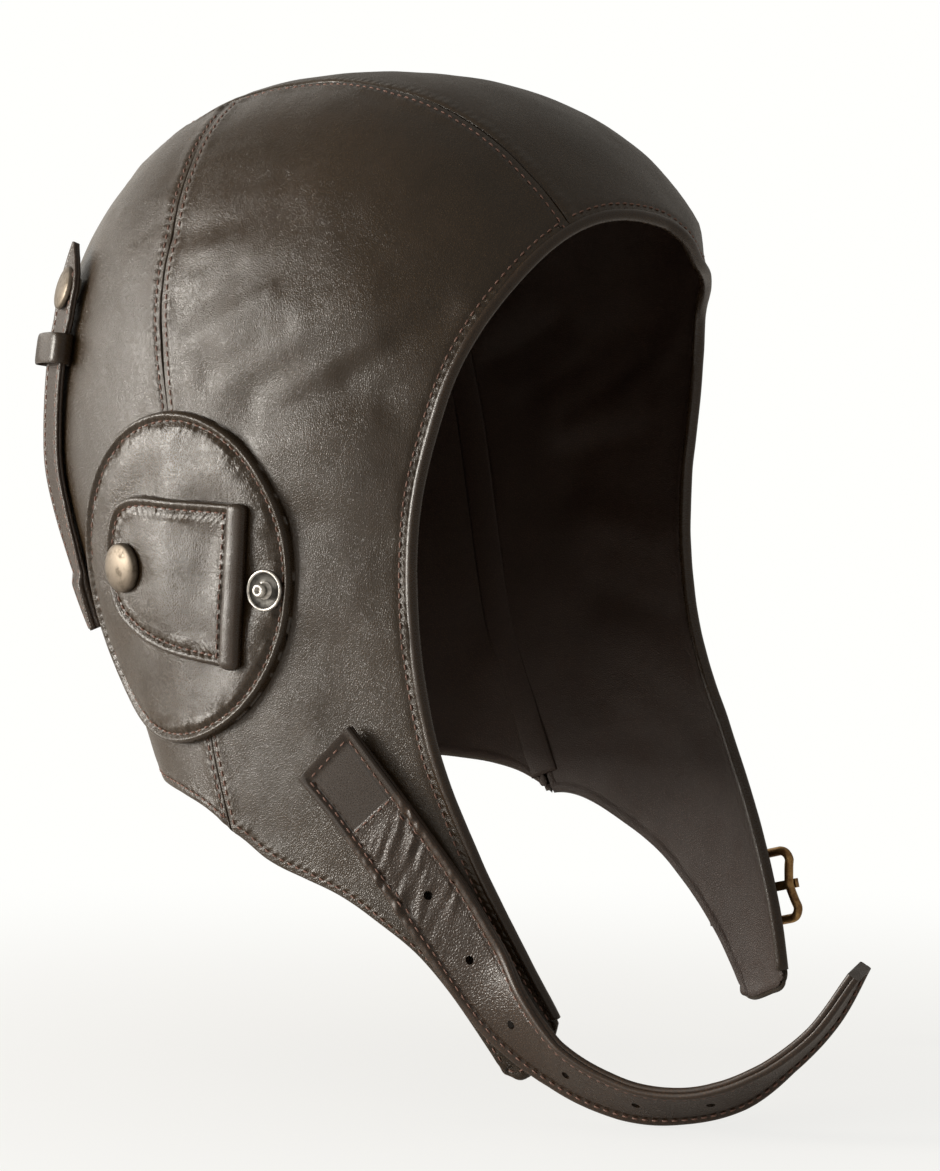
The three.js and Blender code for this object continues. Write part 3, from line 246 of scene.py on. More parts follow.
# Camera of the photograph, in millimetres and degrees, and its lens on a 36 mm sensor
CAMERA_PLACE = (-827.9, -560.2, -114.3)
CAMERA_TURN, CAMERA_TILT, CAMERA_LENS = 33.0, 1.5, 110.06

# Lights round the helmet's middle: turn and height in degrees, then their own width and height in metres
LIGHTS = {
    "key": (-141, 11, 0.7, 0.7),
    "side": (-175, 12, 1.0, 0.9),
    "rim": (-205, 26, 1.0, 0.9),
    "fill": (-104, 2, 0.9, 0.9),
}
LIGHT_FAR = 1.6
LIGHT_COLOUR = (1.0, 0.955, 0.88)
PAPER, HAZE = (0.80, 0.775, 0.75, 1), (1, 1, 0.98, 1)
ROOM_SEEN, ROOM_LIGHT = (1.0, 1.0, 0.98, 1), (1.0, 0.94, 0.85, 1)

SIDES = {1: "right", -1: "left"}

# Points on a sampled seam or edge, and on several joined ones
LINE_POINTS, JOINED_POINTS = 600, 900

# Sizes in metres of the unevenness in leather: its grain's waver, tone, rubbed patches and small lumps
WAVER_SIZE, TONE_SIZE, RUB_SIZE, LUMP_SIZE = 0.0025, 0.03, 0.009, 0.0045
STITCH_PITCH = 0.0026
# Tones as shares of the leather's colour: dark and light areas, rubbed places (also the painted highlight
# band on a strap's welted edges), pores and the strap's sewn box
TONE_DARK, TONE_LIGHT, RUBBED_AND_SHEEN, PORE_TONE, BOX_TONE = 0.75, 1.12, (1.5, 1.28, 1.1), 0.55, 0.4
# What pores and rubbing add to the roughness, and what light areas and the sewn box take from it
PORE_DULL, RUB_DULL, TONE_SHINE, BOX_SHINE = 0.10, 0.07, 0.04, 0.14
# Puckers beside stitches: how many to a metre along and across, their rise and that of each stitch
PUCKERS_ALONG, PUCKERS_ACROSS, PUCKER_RISE, STITCH_RISE = 330, 110, 0.4, 0.06

# Leathers: colour on the panel, grain in metres, relief in millimetres, change of roughness and stitch line
LEATHERS = {
    "shell leather": ("colour", 0.00056, 0.044, -0.02, {"stitch": 0.0021}),
    "ear leather": ("colour", 0.0006, 0.040, -0.09, {"stitch": 0.0027}),
    "edge leather": ("edge_colour", 0.0006, 0.02, -0.08, {}),
    "strap leather": ("strap_colour", 0.0008, 0.060, 0, {"welt": (STRAP_STITCH * MM, STRAP_BOX * MM)}),
    "tab leather": ("strap_colour", 0.0009, 0.06, 0, {}),
    "lining": ("lining_colour", 0.0006, 0.05, 0.25, {}),
}
# Metals: colour on the panel and its share, tarnish colour, roughness and share of tarnish
METALS = {
    "old brass": ("cap_colour", 1, (0.10, 0.082, 0.062), 0.40, 0.2),
    "dark nickel": ("stud_colour", 0.16, (0.04, 0.035, 0.03), 0.5, 0.3),
    "nickel": ("stud_colour", 1, (0.3, 0.28, 0.26), 0.24, 0.3),
    "buckle brass": ("buckle_colour", 1, (0.20, 0.10, 0.045), 0.3, 0.45),
}


def unit(vectors):
    """Vectors brought to length one."""
    return vectors / np.linalg.norm(vectors, axis=-1, keepdims=True)


def travel(points):
    """Length travelled along a line at each of its points."""
    return np.concatenate([[0], np.cumsum(np.linalg.norm(np.diff(points, axis=0), axis=1))])


def bump(gap, place, width, rise=1.0):
    """A soft ridge of one rise at a place, or a dip where the rise is below 0."""
    return rise * np.exp(-(((gap - place) / width) ** 2))


def smooth(value, low, high):
    """0 under low, 1 over high and a soft step between."""
    t = np.clip((value - low) / (high - low), 0, 1)
    return t * t * (3 - 2 * t)


def section_value(column, drop):
    """One column of the section table, smooth between its rows and level at the first."""
    rows = np.array(SECTIONS["drop"], float)
    values = np.array(SECTIONS[column], float)
    slopes = np.zeros(len(rows))
    slopes[1:-1] = (values[2:] - values[:-2]) / (rows[2:] - rows[:-2])
    slopes[-1] = (values[-1] - values[-2]) / (rows[-1] - rows[-2])
    k = np.clip(np.searchsorted(rows, drop, side="right") - 1, 0, len(rows) - 2)
    span = rows[k + 1] - rows[k]
    raw = (drop - rows[k]) / span
    t = np.minimum(raw, 1)
    value = (2 * t**3 - 3 * t**2 + 1) * values[k] + (t**3 - 2 * t**2 + t) * span * slopes[k]
    value += (3 * t**2 - 2 * t**3) * values[k + 1] + (t**3 - t**2) * span * slopes[k + 1]
    return value + np.maximum(raw - 1, 0) * span * slopes[-1]


def plain_skin(turn, reach):
    """Points of the plain outer skin at turns from the front, in radians, and reaches over the crown."""
    lean = np.minimum(reach / CROWN_REACH, 1) * math.pi / 2
    drop = np.maximum(reach - CROWN_REACH, 0)
    ahead, aside = np.cos(turn), np.sin(turn)
    arch = np.where(ahead > 0, ARCH_FRONT, ARCH_BACK) * ahead**2 + ARCH_SIDE * aside**2
    upright, level = np.abs(np.cos(lean)), np.sin(lean)
    swell = (np.maximum(level, 1e-9) ** arch + upright**arch) ** (-1 / arch)
    square = np.where(ahead > 0, section_value("square", drop), SQUARE_BACK)
    length = np.where(ahead > 0, section_value("front", drop), section_value("back", drop))
    half = section_value("half", drop)
    radius = (np.abs(aside / half) ** square + np.abs(ahead / length) ** square) ** (-1 / square)
    over = reach < CROWN_REACH
    out = radius * np.where(over, level * swell, 1)
    x = -out * aside
    y = -out * ahead + np.where(over, CROWN_SET_BACK * np.cos(lean) ** 2, 0)
    z = WALL + np.where(over, CROWN_HEIGHT * (upright * swell - 1), -CROWN_HEIGHT - drop)
    left_turn = -np.degrees(turn)
    tuck = smooth(left_turn, *TUCK_TURNS[:2]) - smooth(left_turn, *TUCK_TURNS[2:])
    tuck = TUCK_DEPTH * smooth(reach, *TUCK_REACH) * tuck
    x = x + tuck * aside
    y = y + tuck * ahead
    share = np.maximum(drop - KICK_BELOW, 0) * smooth(drop, KICK_BELOW, KICK_FULL)
    share = np.where(x > 0, share * smooth(x, -5, 45), 0)
    return np.stack([x + share * KICK_OUTWARD, y - share * KICK_FORWARD, z], -1)


def flat(turn, reach):
    """Place on the flattened skin: outward to the right and backward from the crown top."""
    angle = np.radians(turn)
    return np.stack([reach * np.sin(angle), -reach * np.cos(angle)], -1)


def plain_at(place):
    """Plain skin over places of the flattened skin."""
    return plain_skin(np.arctan2(place[..., 0], -place[..., 1]), np.hypot(place[..., 0], place[..., 1]))


def ridge_rise(points, ridges):
    """Height that a table of folds adds at points of the plain skin, on both sides of the head."""
    rise = np.zeros(points.shape[:-1])
    for first, last, height, width in ridges:
        for side in (1, -1):
            a, b = (plain_at(flat(side * turn, reach)) for turn, reach in (first, last))
            along = np.clip(((points - a) @ (b - a)) / ((b - a) @ (b - a)), 0, 1)
            gap = np.linalg.norm(points - (a + along[..., None] * (b - a)), axis=-1)
            rise += bump(gap, 0, width, height)
    return rise


def skin(place):
    """Points and outward normals of the folded outer skin over places of the flattened skin."""
    step = 0.4
    centre = plain_at(place)
    x = plain_at(place + np.array((step, 0)))
    y = plain_at(place + np.array((0, step)))
    normal = np.cross(x - centre, y - centre)
    normal /= np.maximum(np.linalg.norm(normal, axis=-1, keepdims=True), 1e-12)
    middle = np.array((0, 0, -CROWN_HEIGHT))
    below = centre[..., 2] < -CROWN_HEIGHT
    outward = np.where(below, (normal * centre)[..., :2].sum(-1), (normal * (centre - middle)).sum(-1))
    normal = np.where(outward[..., None] < 0, -normal, normal)
    return centre + normal * ridge_rise(centre, FOLDS)[..., None], normal


def find_on_skin(measure, wanted, start):
    """Places on the flattened skin where two measures of the plain skin reach wanted values."""
    wanted = np.asarray(wanted, float)
    place = np.broadcast_to(np.array(start, float), wanted.shape).copy()
    step = 0.2
    for _ in range(30):
        now = measure(plain_at(place))
        dx = (measure(plain_at(place + np.array((step, 0)))) - now) / step
        dy = (measure(plain_at(place + np.array((0, step)))) - now) / step
        gap = wanted - now
        det = dx[..., 0] * dy[..., 1] - dy[..., 0] * dx[..., 1]
        move = np.stack([
            (dy[..., 1] * gap[..., 0] - dy[..., 0] * gap[..., 1]) / det,
            (dx[..., 0] * gap[..., 1] - dx[..., 1] * gap[..., 0]) / det,
        ], -1)
        size = np.linalg.norm(move, axis=-1, keepdims=True)
        place += move * np.minimum(1, 15 / np.maximum(size, 1e-9))
    return place


def skin_where(measure, first, second, start):
    """Points and normals of the folded skin where two measures of the plain skin reach wanted values."""
    wanted = np.stack(np.broadcast_arrays(first, second), -1).astype(float)
    return skin(find_on_skin(measure, wanted, start))


def bend_through(points, dense=60):
    """A smooth centripetal curve through points, sampled densely with a parameter per control point."""
    points = np.asarray(points, float)
    padded = np.vstack([2 * points[0] - points[1], points, 2 * points[-1] - points[-2]])
    samples = []
    for k in range(1, len(padded) - 2):
        p0, p1, p2, p3 = padded[k - 1 : k + 3]
        d0, d1, d2 = (np.linalg.norm(b - a) ** 0.5 for a, b in ((p0, p1), (p1, p2), (p2, p3)))
        t1 = ((p1 - p0) / d0 - (p2 - p0) / (d0 + d1) + (p2 - p1) / d1) * d1
        t2 = ((p2 - p1) / d1 - (p3 - p1) / (d1 + d2) + (p3 - p2) / d2) * d1
        t = np.linspace(0, 1, dense, endpoint=False)[:, None]
        cubic = 2 * p1 - 2 * p2 + t1 + t2
        samples.append(p1 + t1 * t + (3 * p2 - 3 * p1 - 2 * t1 - t2) * t**2 + cubic * t**3)
    return np.vstack([*samples, padded[-2][None]])


def even(points, count):
    """The same line with count points at equal steps along it."""
    run = travel(points)
    steps = np.linspace(0, run[-1], count)
    return np.stack([np.interp(steps, run, column) for column in points.T], -1)


def edge_line(rows, side):
    """A smooth line on the flattened skin through a table of turn and reach."""
    return even(bend_through(flat(*np.array(rows).T) * (side, 1)), LINE_POINTS)


def face_line(side, part):
    """The face edge of one side: the part on the crown strip, or the part down the side panel."""
    line = edge_line(FACE_EDGE[side], side)
    meet = int(np.argmax(np.abs(line[:, 0]) >= STRIP_SEAM_FRONT[-1][0] + 0.4))
    return even(line[: meet + 1] if part == "strip" else line[meet:], LINE_POINTS)


def strip_seam(side):
    """Seam of the crown strip from the junction on the crown to the face edge."""
    meet = face_line(side, "strip")[-1]
    rows = [(out * side, back) for out, back in STRIP_SEAM_FRONT] + [tuple(meet)]
    return even(bend_through(rows), LINE_POINTS)


def joined(*lines):
    """Several lines, end to end, as one."""
    return even(np.vstack([lines[0], *(line[1:] for line in lines[1:])]), JOINED_POINTS)


class Patch:
    """A piece of the flattened skin, filled in between four edges that share their corners."""

    def __init__(self, top, bottom, start, end):
        self.edges = top, bottom, start, end

    def at(self, across, down):
        """Places at shares across, from the start edge to the end edge, and down from the top."""
        top, bottom, start, end = (
            np.stack([np.interp(share, np.linspace(0, 1, len(edge)), edge[:, k]) for k in (0, 1)], -1)
            for edge, share in zip(self.edges, (across, across, down, down))
        )
        a, b = across[..., None], down[..., None]
        corners = (1 - a) * (1 - b) * self.edges[0][0] + a * (1 - b) * self.edges[0][-1]
        corners = corners + (1 - a) * b * self.edges[1][0] + a * b * self.edges[1][-1]
        return (1 - b) * top + b * bottom + (1 - a) * start + a * end - corners

    def lengths(self, across, down):
        """Real length along a line of shares."""
        return travel(skin(self.at(across, down))[0])


def spacing(total, low, high, count):
    """Lengths from low to total - high, close together near both ends and even between."""
    fine = np.array((0, 0.3, 0.6, 1.0, 1.4, 1.8, 2.2, 2.7, 3.3, 4.0, 4.8, 5.8, 7.0))
    room = max(total - low - high, 1e-3)
    fine = fine * min(1, room * 0.3 / fine[-1])
    middle = np.linspace(fine[-1], room - fine[-1], count)[1:-1]
    return low + np.concatenate([fine, middle, (room - fine)[::-1]])


def grid_on(patch, rows, columns, insets):
    """Places of a grid over a patch, with each place's length from the four edges."""
    shares = np.linspace(0, 1, 41)
    half = np.full_like(shares, 0.5)
    down_run = patch.lengths(half, shares)
    down = np.interp(spacing(down_run[-1], insets["top"], insets["bottom"], rows), down_run, shares)
    across, from_start, from_end = [], [], []
    for share in down:
        run = patch.lengths(shares, np.full_like(shares, share))
        steps = spacing(run[-1], insets["start"], insets["end"], columns)
        across.append(np.interp(steps, run, shares))
        from_start.append(steps)
        from_end.append(run[-1] - steps)
    across = np.array(across)
    places = patch.at(across, np.repeat(down[:, None], across.shape[1], 1))
    points = skin(places)[0]
    steps = np.linalg.norm(np.diff(points, axis=0), axis=-1)
    from_top = insets["top"] + np.vstack([np.zeros(across.shape[1]), np.cumsum(steps, 0)])
    from_bottom = insets["bottom"] + from_top[-1] - from_top
    gaps = {"start": np.array(from_start), "end": np.array(from_end), "top": from_top, "bottom": from_bottom}
    return places, gaps


def edge_rise(form, gap):
    """Height of a panel at lengths from an edge that ends in one of the forms."""
    reach, depth, bumps = EDGE_FORMS[form]
    rise = -depth * (1 - np.clip(gap / reach, 0, 1)) ** 2
    return rise + sum(bump(gap, *row) for row in bumps)


def ripple(points, size, seed):
    """Slow unevenness of soft leather, between -1 and 1."""
    scale = 1 / size
    shape = points.shape[:-1]
    values = [noise.noise(Vector(p) * scale + Vector((seed, 0, 0))) for p in points.reshape(-1, 3)]
    return np.array(values).reshape(shape)


def mesh_of(name, bm):
    """Ends a bmesh in a mesh of its own."""
    mesh = bpy.data.meshes.new(name)
    bm.to_mesh(mesh)
    bm.free()
    return mesh


def placed(name, data):
    """Puts a mesh, lamp or camera into the scene."""
    made = bpy.data.objects.new(name, data)
    bpy.context.scene.collection.objects.link(made)
    return made


def piece(name, bm, finishes, stands_for=None, body="helmet"):
    """A finished piece from a bmesh in millimetres: it rides on a body and may stand for a node."""
    bmesh.ops.scale(bm, vec=(MM, MM, MM), verts=bm.verts)
    mesh = mesh_of(name, bm)
    mesh.shade_smooth()
    made = placed(name, mesh)
    for finish in finishes:
        mesh.materials.append(finish_of(finish))
    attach(made, body)
    if stands_for:
        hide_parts(stands_for)
    return made


def laid_over(points, chart=None, outward=None):
    """A grid of faces over an array of points, merged where its sides meet. The chart goes to a UV map."""
    rows, columns = points.shape[:2]
    bm = bmesh.new()
    bmesh.ops.create_grid(bm, x_segments=columns - 1, y_segments=rows - 1, size=0.5)
    index = {}
    for vert in bm.verts:
        i = round((vert.co.y + 0.5) * (rows - 1))
        j = round((vert.co.x + 0.5) * (columns - 1))
        index[vert] = i, j
        vert.co = points[i, j]
    if chart is not None:
        layer = bm.loops.layers.uv.new("seam")
        for face in bm.faces:
            for loop in face.loops:
                loop[layer].uv = chart[index[loop.vert]] * MM
    bmesh.ops.remove_doubles(bm, verts=bm.verts, dist=1e-4)
    if outward is None:
        bmesh.ops.recalc_face_normals(bm, faces=bm.faces)
    else:
        face = max(bm.faces, key=lambda f: f.calc_area())
        face.normal_update()
        centre = face.calc_center_median()
        if face.normal.dot(outward(centre)) < 0:
            bmesh.ops.reverse_faces(bm, faces=bm.faces)
    return bm


def tube(centres, sideways, upward, ring, closed=False):
    """Points of a tube: rings of (sideways, upward) offsets round centres, closed at both ends."""
    ring = np.asarray(ring, float)
    if ring.ndim == 2:
        ring = np.repeat(ring[None], len(centres), 0)
    points = centres[:, None] + ring[..., :1] * sideways[:, None] + ring[..., 1:] * upward[:, None]
    points = np.concatenate([points, points[:, :1]], 1)
    if closed:
        return np.concatenate([points, points[:1]], 0)
    cap = lambda k, share: (points[k] - centres[k]) * share + centres[k]
    first = [cap(0, share) for share in (0.0, 0.55, 0.85)]
    last = [cap(-1, share) for share in (0.85, 0.55, 0.0)]
    return np.concatenate([first, points, last], 0)


def oval_ring(across, tall, sides):
    """Offsets of an oval section."""
    angle = np.linspace(0, 2 * math.pi, sides, endpoint=False)
    return np.stack([np.cos(angle) * across / 2, np.sin(angle) * tall / 2], -1)


def directions(points):
    """Unit directions along a line of points."""
    return unit(np.gradient(points, axis=0))


def joining(operation, swapped=False):
    """A method that joins a signal to a number or another signal, in this order or swapped."""
    return lambda one, other: one.finish.maths(operation, *((other, one) if swapped else (one, other)))


class Signal:
    """A number that changes over a surface, written with ordinary operators."""

    def __init__(self, finish, socket):
        self.finish = finish
        self.socket = socket

    __add__ = joining("ADD")
    __radd__ = joining("ADD", True)
    __sub__ = joining("SUBTRACT")
    __rsub__ = joining("SUBTRACT", True)
    __mul__ = joining("MULTIPLY")


class Finish:
    """A procedural material under construction."""

    def __init__(self, name):
        self.material = bpy.data.materials.new(name)
        self.material.use_nodes = True
        self.tree = self.material.node_tree
        self.tree.nodes.clear()
        self.place = self.node("TexCoord", output="Object")

    def node(self, kind, settings=None, values=None, output=0):
        """Adds any node: its settings first, then the values or links of its sockets."""
        made = self.tree.nodes.new("ShaderNode" + kind)
        for name, value in (settings or {}).items():
            setattr(made, name, value)
        for name, value in (values or {}).items():
            if isinstance(value, Signal):
                self.tree.links.new(value.socket, made.inputs[name])
            else:
                made.inputs[name].default_value = value
        return Signal(self, made.outputs[output]) if made.outputs else None

    def maths(self, operation, *values):
        return self.node("Math", {"operation": operation}, dict(enumerate(values)))

    def shift(self, amount, push):
        """The object's own coordinates, pushed about by a vector signal."""
        pushed = self.node("VectorMath", {"operation": "SCALE"}, {0: push, "Scale": amount})
        return self.node("VectorMath", {"operation": "ADD"}, {0: self.place, 1: pushed})

    def speckle(self, size, detail=2.0, roughness=0.5, where=None, output="Fac"):
        """Noise with blobs of one size in metres."""
        values = {"Vector": where or self.place, "Scale": 1 / size, "Detail": detail, "Roughness": roughness}
        return self.node("TexNoise", {}, values, output)

    def cells(self, size, feature="F1", where=None):
        """Distance in a pattern of cells of one size in metres."""
        values = {"Vector": where or self.place, "Scale": 1 / size}
        return self.node("TexVoronoi", {"feature": feature}, values, "Distance")

    def between(self, signal, low, high):
        """0 under low, 1 over high and a soft step between."""
        settings = {"interpolation_type": "SMOOTHSTEP"}
        return self.node("MapRange", settings, {"Value": signal, "From Min": low, "From Max": high})

    def mix(self, share, one, other):
        """Colour between two colours."""
        return self.node("Mix", {"data_type": "RGBA"}, {0: share, 6: one, 7: other}, 2)

    def chart(self):
        """Length along a seam and length from the edge, out of the piece's own UV map."""
        place = self.node("UVMap", {"uv_map": "seam"}, output="UV")
        return [self.node("SeparateXYZ", {}, {"Vector": place}, axis) for axis in "XY"]

    def finish(self, height=None, **sockets):
        """Ends the material in a Principled shader, with a height in millimetres as its bump."""
        if height is not None:
            sockets["Normal"] = self.node("Bump", {}, {"Height": height, "Distance": MM, "Strength": 1.0})
        named = {key.replace("_", " "): value for key, value in sockets.items()}
        shader = self.node("BsdfPrincipled", {}, named)
        self.node("OutputMaterial", {}, {"Surface": shader})
        return self.material


def shade(colour, factor=1.0):
    """A property's colour as a socket value, lighter or darker by a factor."""
    return (*(min(1.0, channel * factor) for channel in colour), 1.0)


def leather_finish(name, colour, grain, depth, gloss, stitch=None, welt=None):
    """Aniline leather: fine grain, slow tone changes, darker pores and a soft shine."""
    finish = Finish(name)
    grainy = finish.shift(grain * 1.2, finish.speckle(WAVER_SIZE, output="Color"))
    pores = finish.between(finish.cells(grain, "DISTANCE_TO_EDGE", grainy), 0.0, 0.34)
    small = finish.speckle(grain * 0.5, 3.0, 0.6)
    tone = finish.between(finish.speckle(TONE_SIZE, 3.0, 0.55), 0.3, 0.72)
    rub_and_sheen = finish.between(finish.speckle(RUB_SIZE, 4.0, 0.65), 0.45, 0.75)
    height = pores * depth + small * (depth * 0.6) + finish.speckle(LUMP_SIZE) * 0.10
    if stitch:
        height = height + stitch_puckers(finish, stitch)
    if welt:
        middle, loose = welt_shares(finish, *welt)
        height = height * (middle * loose * 0.85 + 0.15)
        # The welted edges outside the stitch lines take the lighter rubbed colour as a painted highlight band
        rub_and_sheen = rub_and_sheen * loose + (1 - middle) * 1.2
        tone = tone * loose
        gloss = gloss - (1 - loose) * BOX_SHINE
    plain = finish.mix(tone, shade(colour, TONE_DARK), shade(colour, TONE_LIGHT))
    # Lighter, redder colour of rubbed places and of the painted highlight band on welted edges
    worn = finish.mix(rub_and_sheen * 0.35, plain, shade([channel * share for channel, share in zip(colour, RUBBED_AND_SHEEN)]))
    if welt:
        worn = finish.mix(loose, shade(colour, BOX_TONE), worn)
    base = finish.mix(1 - pores, worn, shade(colour, PORE_TONE))
    dull = gloss + (1 - pores) * PORE_DULL + rub_and_sheen * RUB_DULL - tone * TONE_SHINE
    return finish.finish(height, Base_Color=base, Roughness=dull, IOR=1.5)


def stitch_puckers(finish, stitch):
    """Height of the small puckers that a row of stitches pulls into the leather beside it."""
    run, gap = finish.chart()
    near = finish.between(gap, stitch * 0.3, stitch) * (1 - finish.between(gap, stitch * 1.2, stitch * 2.4))
    stretched = finish.node("CombineXYZ", {}, {"X": run * PUCKERS_ALONG, "Y": gap * PUCKERS_ACROSS})
    pucker = finish.node("TexNoise", {}, {"Vector": stretched, "Scale": 1.0, "Detail": 1.5}, "Fac")
    beat = finish.maths("SINE", run * (2 * math.pi / STITCH_PITCH))
    return near * (pucker * PUCKER_RISE + beat * STITCH_RISE)


def welt_shares(finish, edge, box):
    """Shares of a strap inside its welted edges, and past its sewn box."""
    run, gap = finish.chart()
    return finish.between(gap, edge * 0.7, edge * 1.05), finish.between(run, box - 0.0006, box)


def thread_finish(name, colour):
    """Waxed thread with a twist."""
    finish = Finish(name)
    values = {"Vector": finish.place, "Scale": 900.0}
    twist = finish.node("TexWave", {"bands_direction": "DIAGONAL"}, values, "Fac")
    base = finish.mix(finish.speckle(0.002), shade(colour, 0.7), shade(colour, 1.25))
    return finish.finish(twist * 0.05, Base_Color=base, Roughness=0.7)


def metal_finish(name, colour, dark, gloss, tarnish):
    """Plated metal, tarnished in patches and finely scratched."""
    finish = Finish(name)
    patches = finish.between(finish.speckle(0.0028, 5.0, 0.68), 0.5 - tarnish * 0.35, 0.82 - tarnish * 0.3)
    scratches = finish.speckle(0.0006, 4.0, 0.7)
    base = finish.mix(patches, shade(colour), shade(dark))
    dull = gloss + patches * 0.2 + scratches * 0.08
    return finish.finish(scratches * 0.02 + patches * 0.03, Base_Color=base, Metallic=1.0, Roughness=dull)


FINISHES = {}


def finish_of(name):
    """A finish by its plain name, made on first use from the panel's settings."""
    if name not in FINISHES:
        look = bpy.context.scene.helmet_leather
        metal = bpy.context.scene.helmet_metal
        if name in LEATHERS:
            key, grain, depth, change, line = LEATHERS[name]
            made = leather_finish(name, getattr(look, key), grain, depth, look.roughness + change, **line)
        elif name in METALS:
            key, share, *looks = METALS[name]
            made = metal_finish(name, shade(getattr(metal, key), share)[:3], *looks)
        else:
            made = thread_finish(name, look.thread_colour)
        FINISHES[name] = made
    return FINISHES[name]


def stitch_shape(length, across):
    """One stitch in millimetres, lying along X, with its ends drawn down into the leather."""
    ring = oval_ring(across, across, 5)
    points = np.array([
        [(x * length, a * size, (lift + 0.2) * across + b * size) for a, b in ring]
        for x, lift, size in STITCH_STATIONS
    ])
    return mesh_of("stitch", laid_over(np.concatenate([points, points[:, :1]], 1)))


def sew(name, line, surface):
    """A row of stitches along a line of points in millimetres, lying on the surface beside it."""
    look = bpy.context.scene.helmet_thread
    pitch, length = look.pitch / MM, look.length / MM
    shape = stitch_shape(length, look.across / MM)
    run = travel(line)
    count = max(int(run[-1] // pitch), 1)
    bm = bmesh.new()
    for station in (np.arange(count) + 0.5) * run[-1] / count:
        back, front = (
            Vector([np.interp(station + offset * length, run, column) for column in line.T])
            for offset in (-0.4, 0.4)
        )
        found, normal, _, _ = surface.find_nearest((back + front) / 2)
        forward = (front - back).normalized()
        sideways = normal.cross(forward).normalized()
        facing = Matrix((forward, sideways, forward.cross(sideways))).transposed().to_4x4()
        made = len(bm.verts)
        bm.from_mesh(shape)
        bm.verts.ensure_lookup_table()
        bmesh.ops.transform(bm, matrix=Matrix.Translation(found) @ facing, verts=bm.verts[made:])
    bpy.data.meshes.remove(shape)
    return piece(name, bm, ["thread"])


def surface_of(made):
    """A lookup of the nearest place on a finished piece, in millimetres."""
    bm = bmesh.new()
    bm.from_mesh(made.data)
    bmesh.ops.scale(bm, vec=(1 / MM,) * 3, verts=bm.verts)
    tree = BVHTree.FromBMesh(bm)
    bm.free()
    return tree


def leather_panel(name, node, patch, rows, columns, insets, forms, seed):
    """One sewn panel: its grid on the skin, edges turned down, creases and a lining behind."""
    places, gaps = grid_on(patch, rows, columns, insets)
    points, normals = skin(places)
    rise = ridge_rise(points, CREASES)
    for height, size, shift in PANEL_LUMPS:
        rise = rise + height * ripple(points, size, seed + shift)
    height, size, shift = PANEL_PUCKERS
    puckers = height * ripple(points, size, seed + shift)
    for edge, form in forms.items():
        rise = rise + edge_rise(form, gaps[edge]) + puckers * bump(gaps[edge], PUCKER_PLACE, PUCKER_SPREAD)
    points = points + normals * rise[..., None]
    nearest = np.min([gaps[edge] for edge in forms], axis=0)
    along = np.where(np.minimum(gaps["start"], gaps["end"]) <= nearest + 1e-6, gaps["top"], gaps["start"])
    bm = laid_over(points, np.stack([along, nearest], -1), lambda p: p - Vector((0, 0, -CROWN_HEIGHT)))
    made = piece(name, bm, ["shell leather", "lining"], stands_for=node)
    wall = made.modifiers.new("wall", "SOLIDIFY")
    wall.thickness = WALL * PANEL_SHARE * MM
    wall.offset = -1
    wall.material_offset = 1
    return patch, surface_of(made)


def sew_edge(name, panel, edge, gap, low, high):
    """A row of stitches inside one edge of a panel, between two shares of its length."""
    patch, surface = panel
    sew(name, inside_line(patch, edge, gap, low, high), surface)


def inside_line(patch, edge, gap, low, high):
    """Points of the skin along one edge of a patch, at a length inside it."""
    shares = np.linspace(low, high, 240)
    ladder = np.linspace(0, 1, 25)
    places = []
    for share in shares:
        same = np.full_like(ladder, share)
        pair = (ladder, same) if edge in ("start", "end") else (same, ladder)
        run = patch.lengths(*pair)
        step = gap if edge in ("start", "top") else run[-1] - gap
        inward = np.interp(step, run, ladder)
        pair = (inward, share) if edge in ("start", "end") else (share, inward)
        places.append(patch.at(np.array(pair[0]), np.array(pair[1])))
    return skin(np.array(places))[0]


def side_patch(side):
    """The side panel, from the strip seam down to the flap tip."""
    start = joined(edge_line(SIDE_SEAM, side), edge_line(FLAP_BACK[side], side))
    return Patch(strip_seam(side), edge_line(FLAP_TIP[side], side), start, face_line(side, "panel"))


def back_patch(side):
    """The back panel, a wedge between the strip seam and the side seam."""
    start = edge_line(STRIP_SEAM_BACK, side)
    top = np.repeat(start[:1], 2, 0)
    return Patch(top, edge_line(NAPE_HEM, side)[::-1], start, edge_line(SIDE_SEAM, side))


def strip_edge(side):
    """One edge of the crown strip, from the face to the nape."""
    return joined(strip_seam(side)[::-1], edge_line(STRIP_SEAM_BACK, side))


def strip_patch():
    """The crown strip, with its nape edge at one reach."""
    start, end = strip_edge(1), strip_edge(-1)
    top = joined(face_line(1, "strip")[::-1], face_line(-1, "strip"))
    nape = start[-1]
    turn, reach = math.atan2(nape[0], -nape[1]), math.hypot(*nape)
    turns = np.linspace(turn, 2 * math.pi - turn, 200)
    bottom = np.stack([reach * np.sin(turns), -reach * np.cos(turns)], -1)
    return Patch(top, bottom, start, end)


def seam_tape(name, line):
    """Flat tape behind a seam, glued to the inner faces of both panels."""
    points, normals = skin(line)
    across = unit(np.cross(directions(points), normals))
    centres = points - normals * (WALL * PANEL_SHARE + TAPE_THICK * 0.3)
    piece(name, laid_over(tube(centres, across, normals, oval_ring(TAPE_ACROSS, TAPE_THICK, 12))), ["lining"])


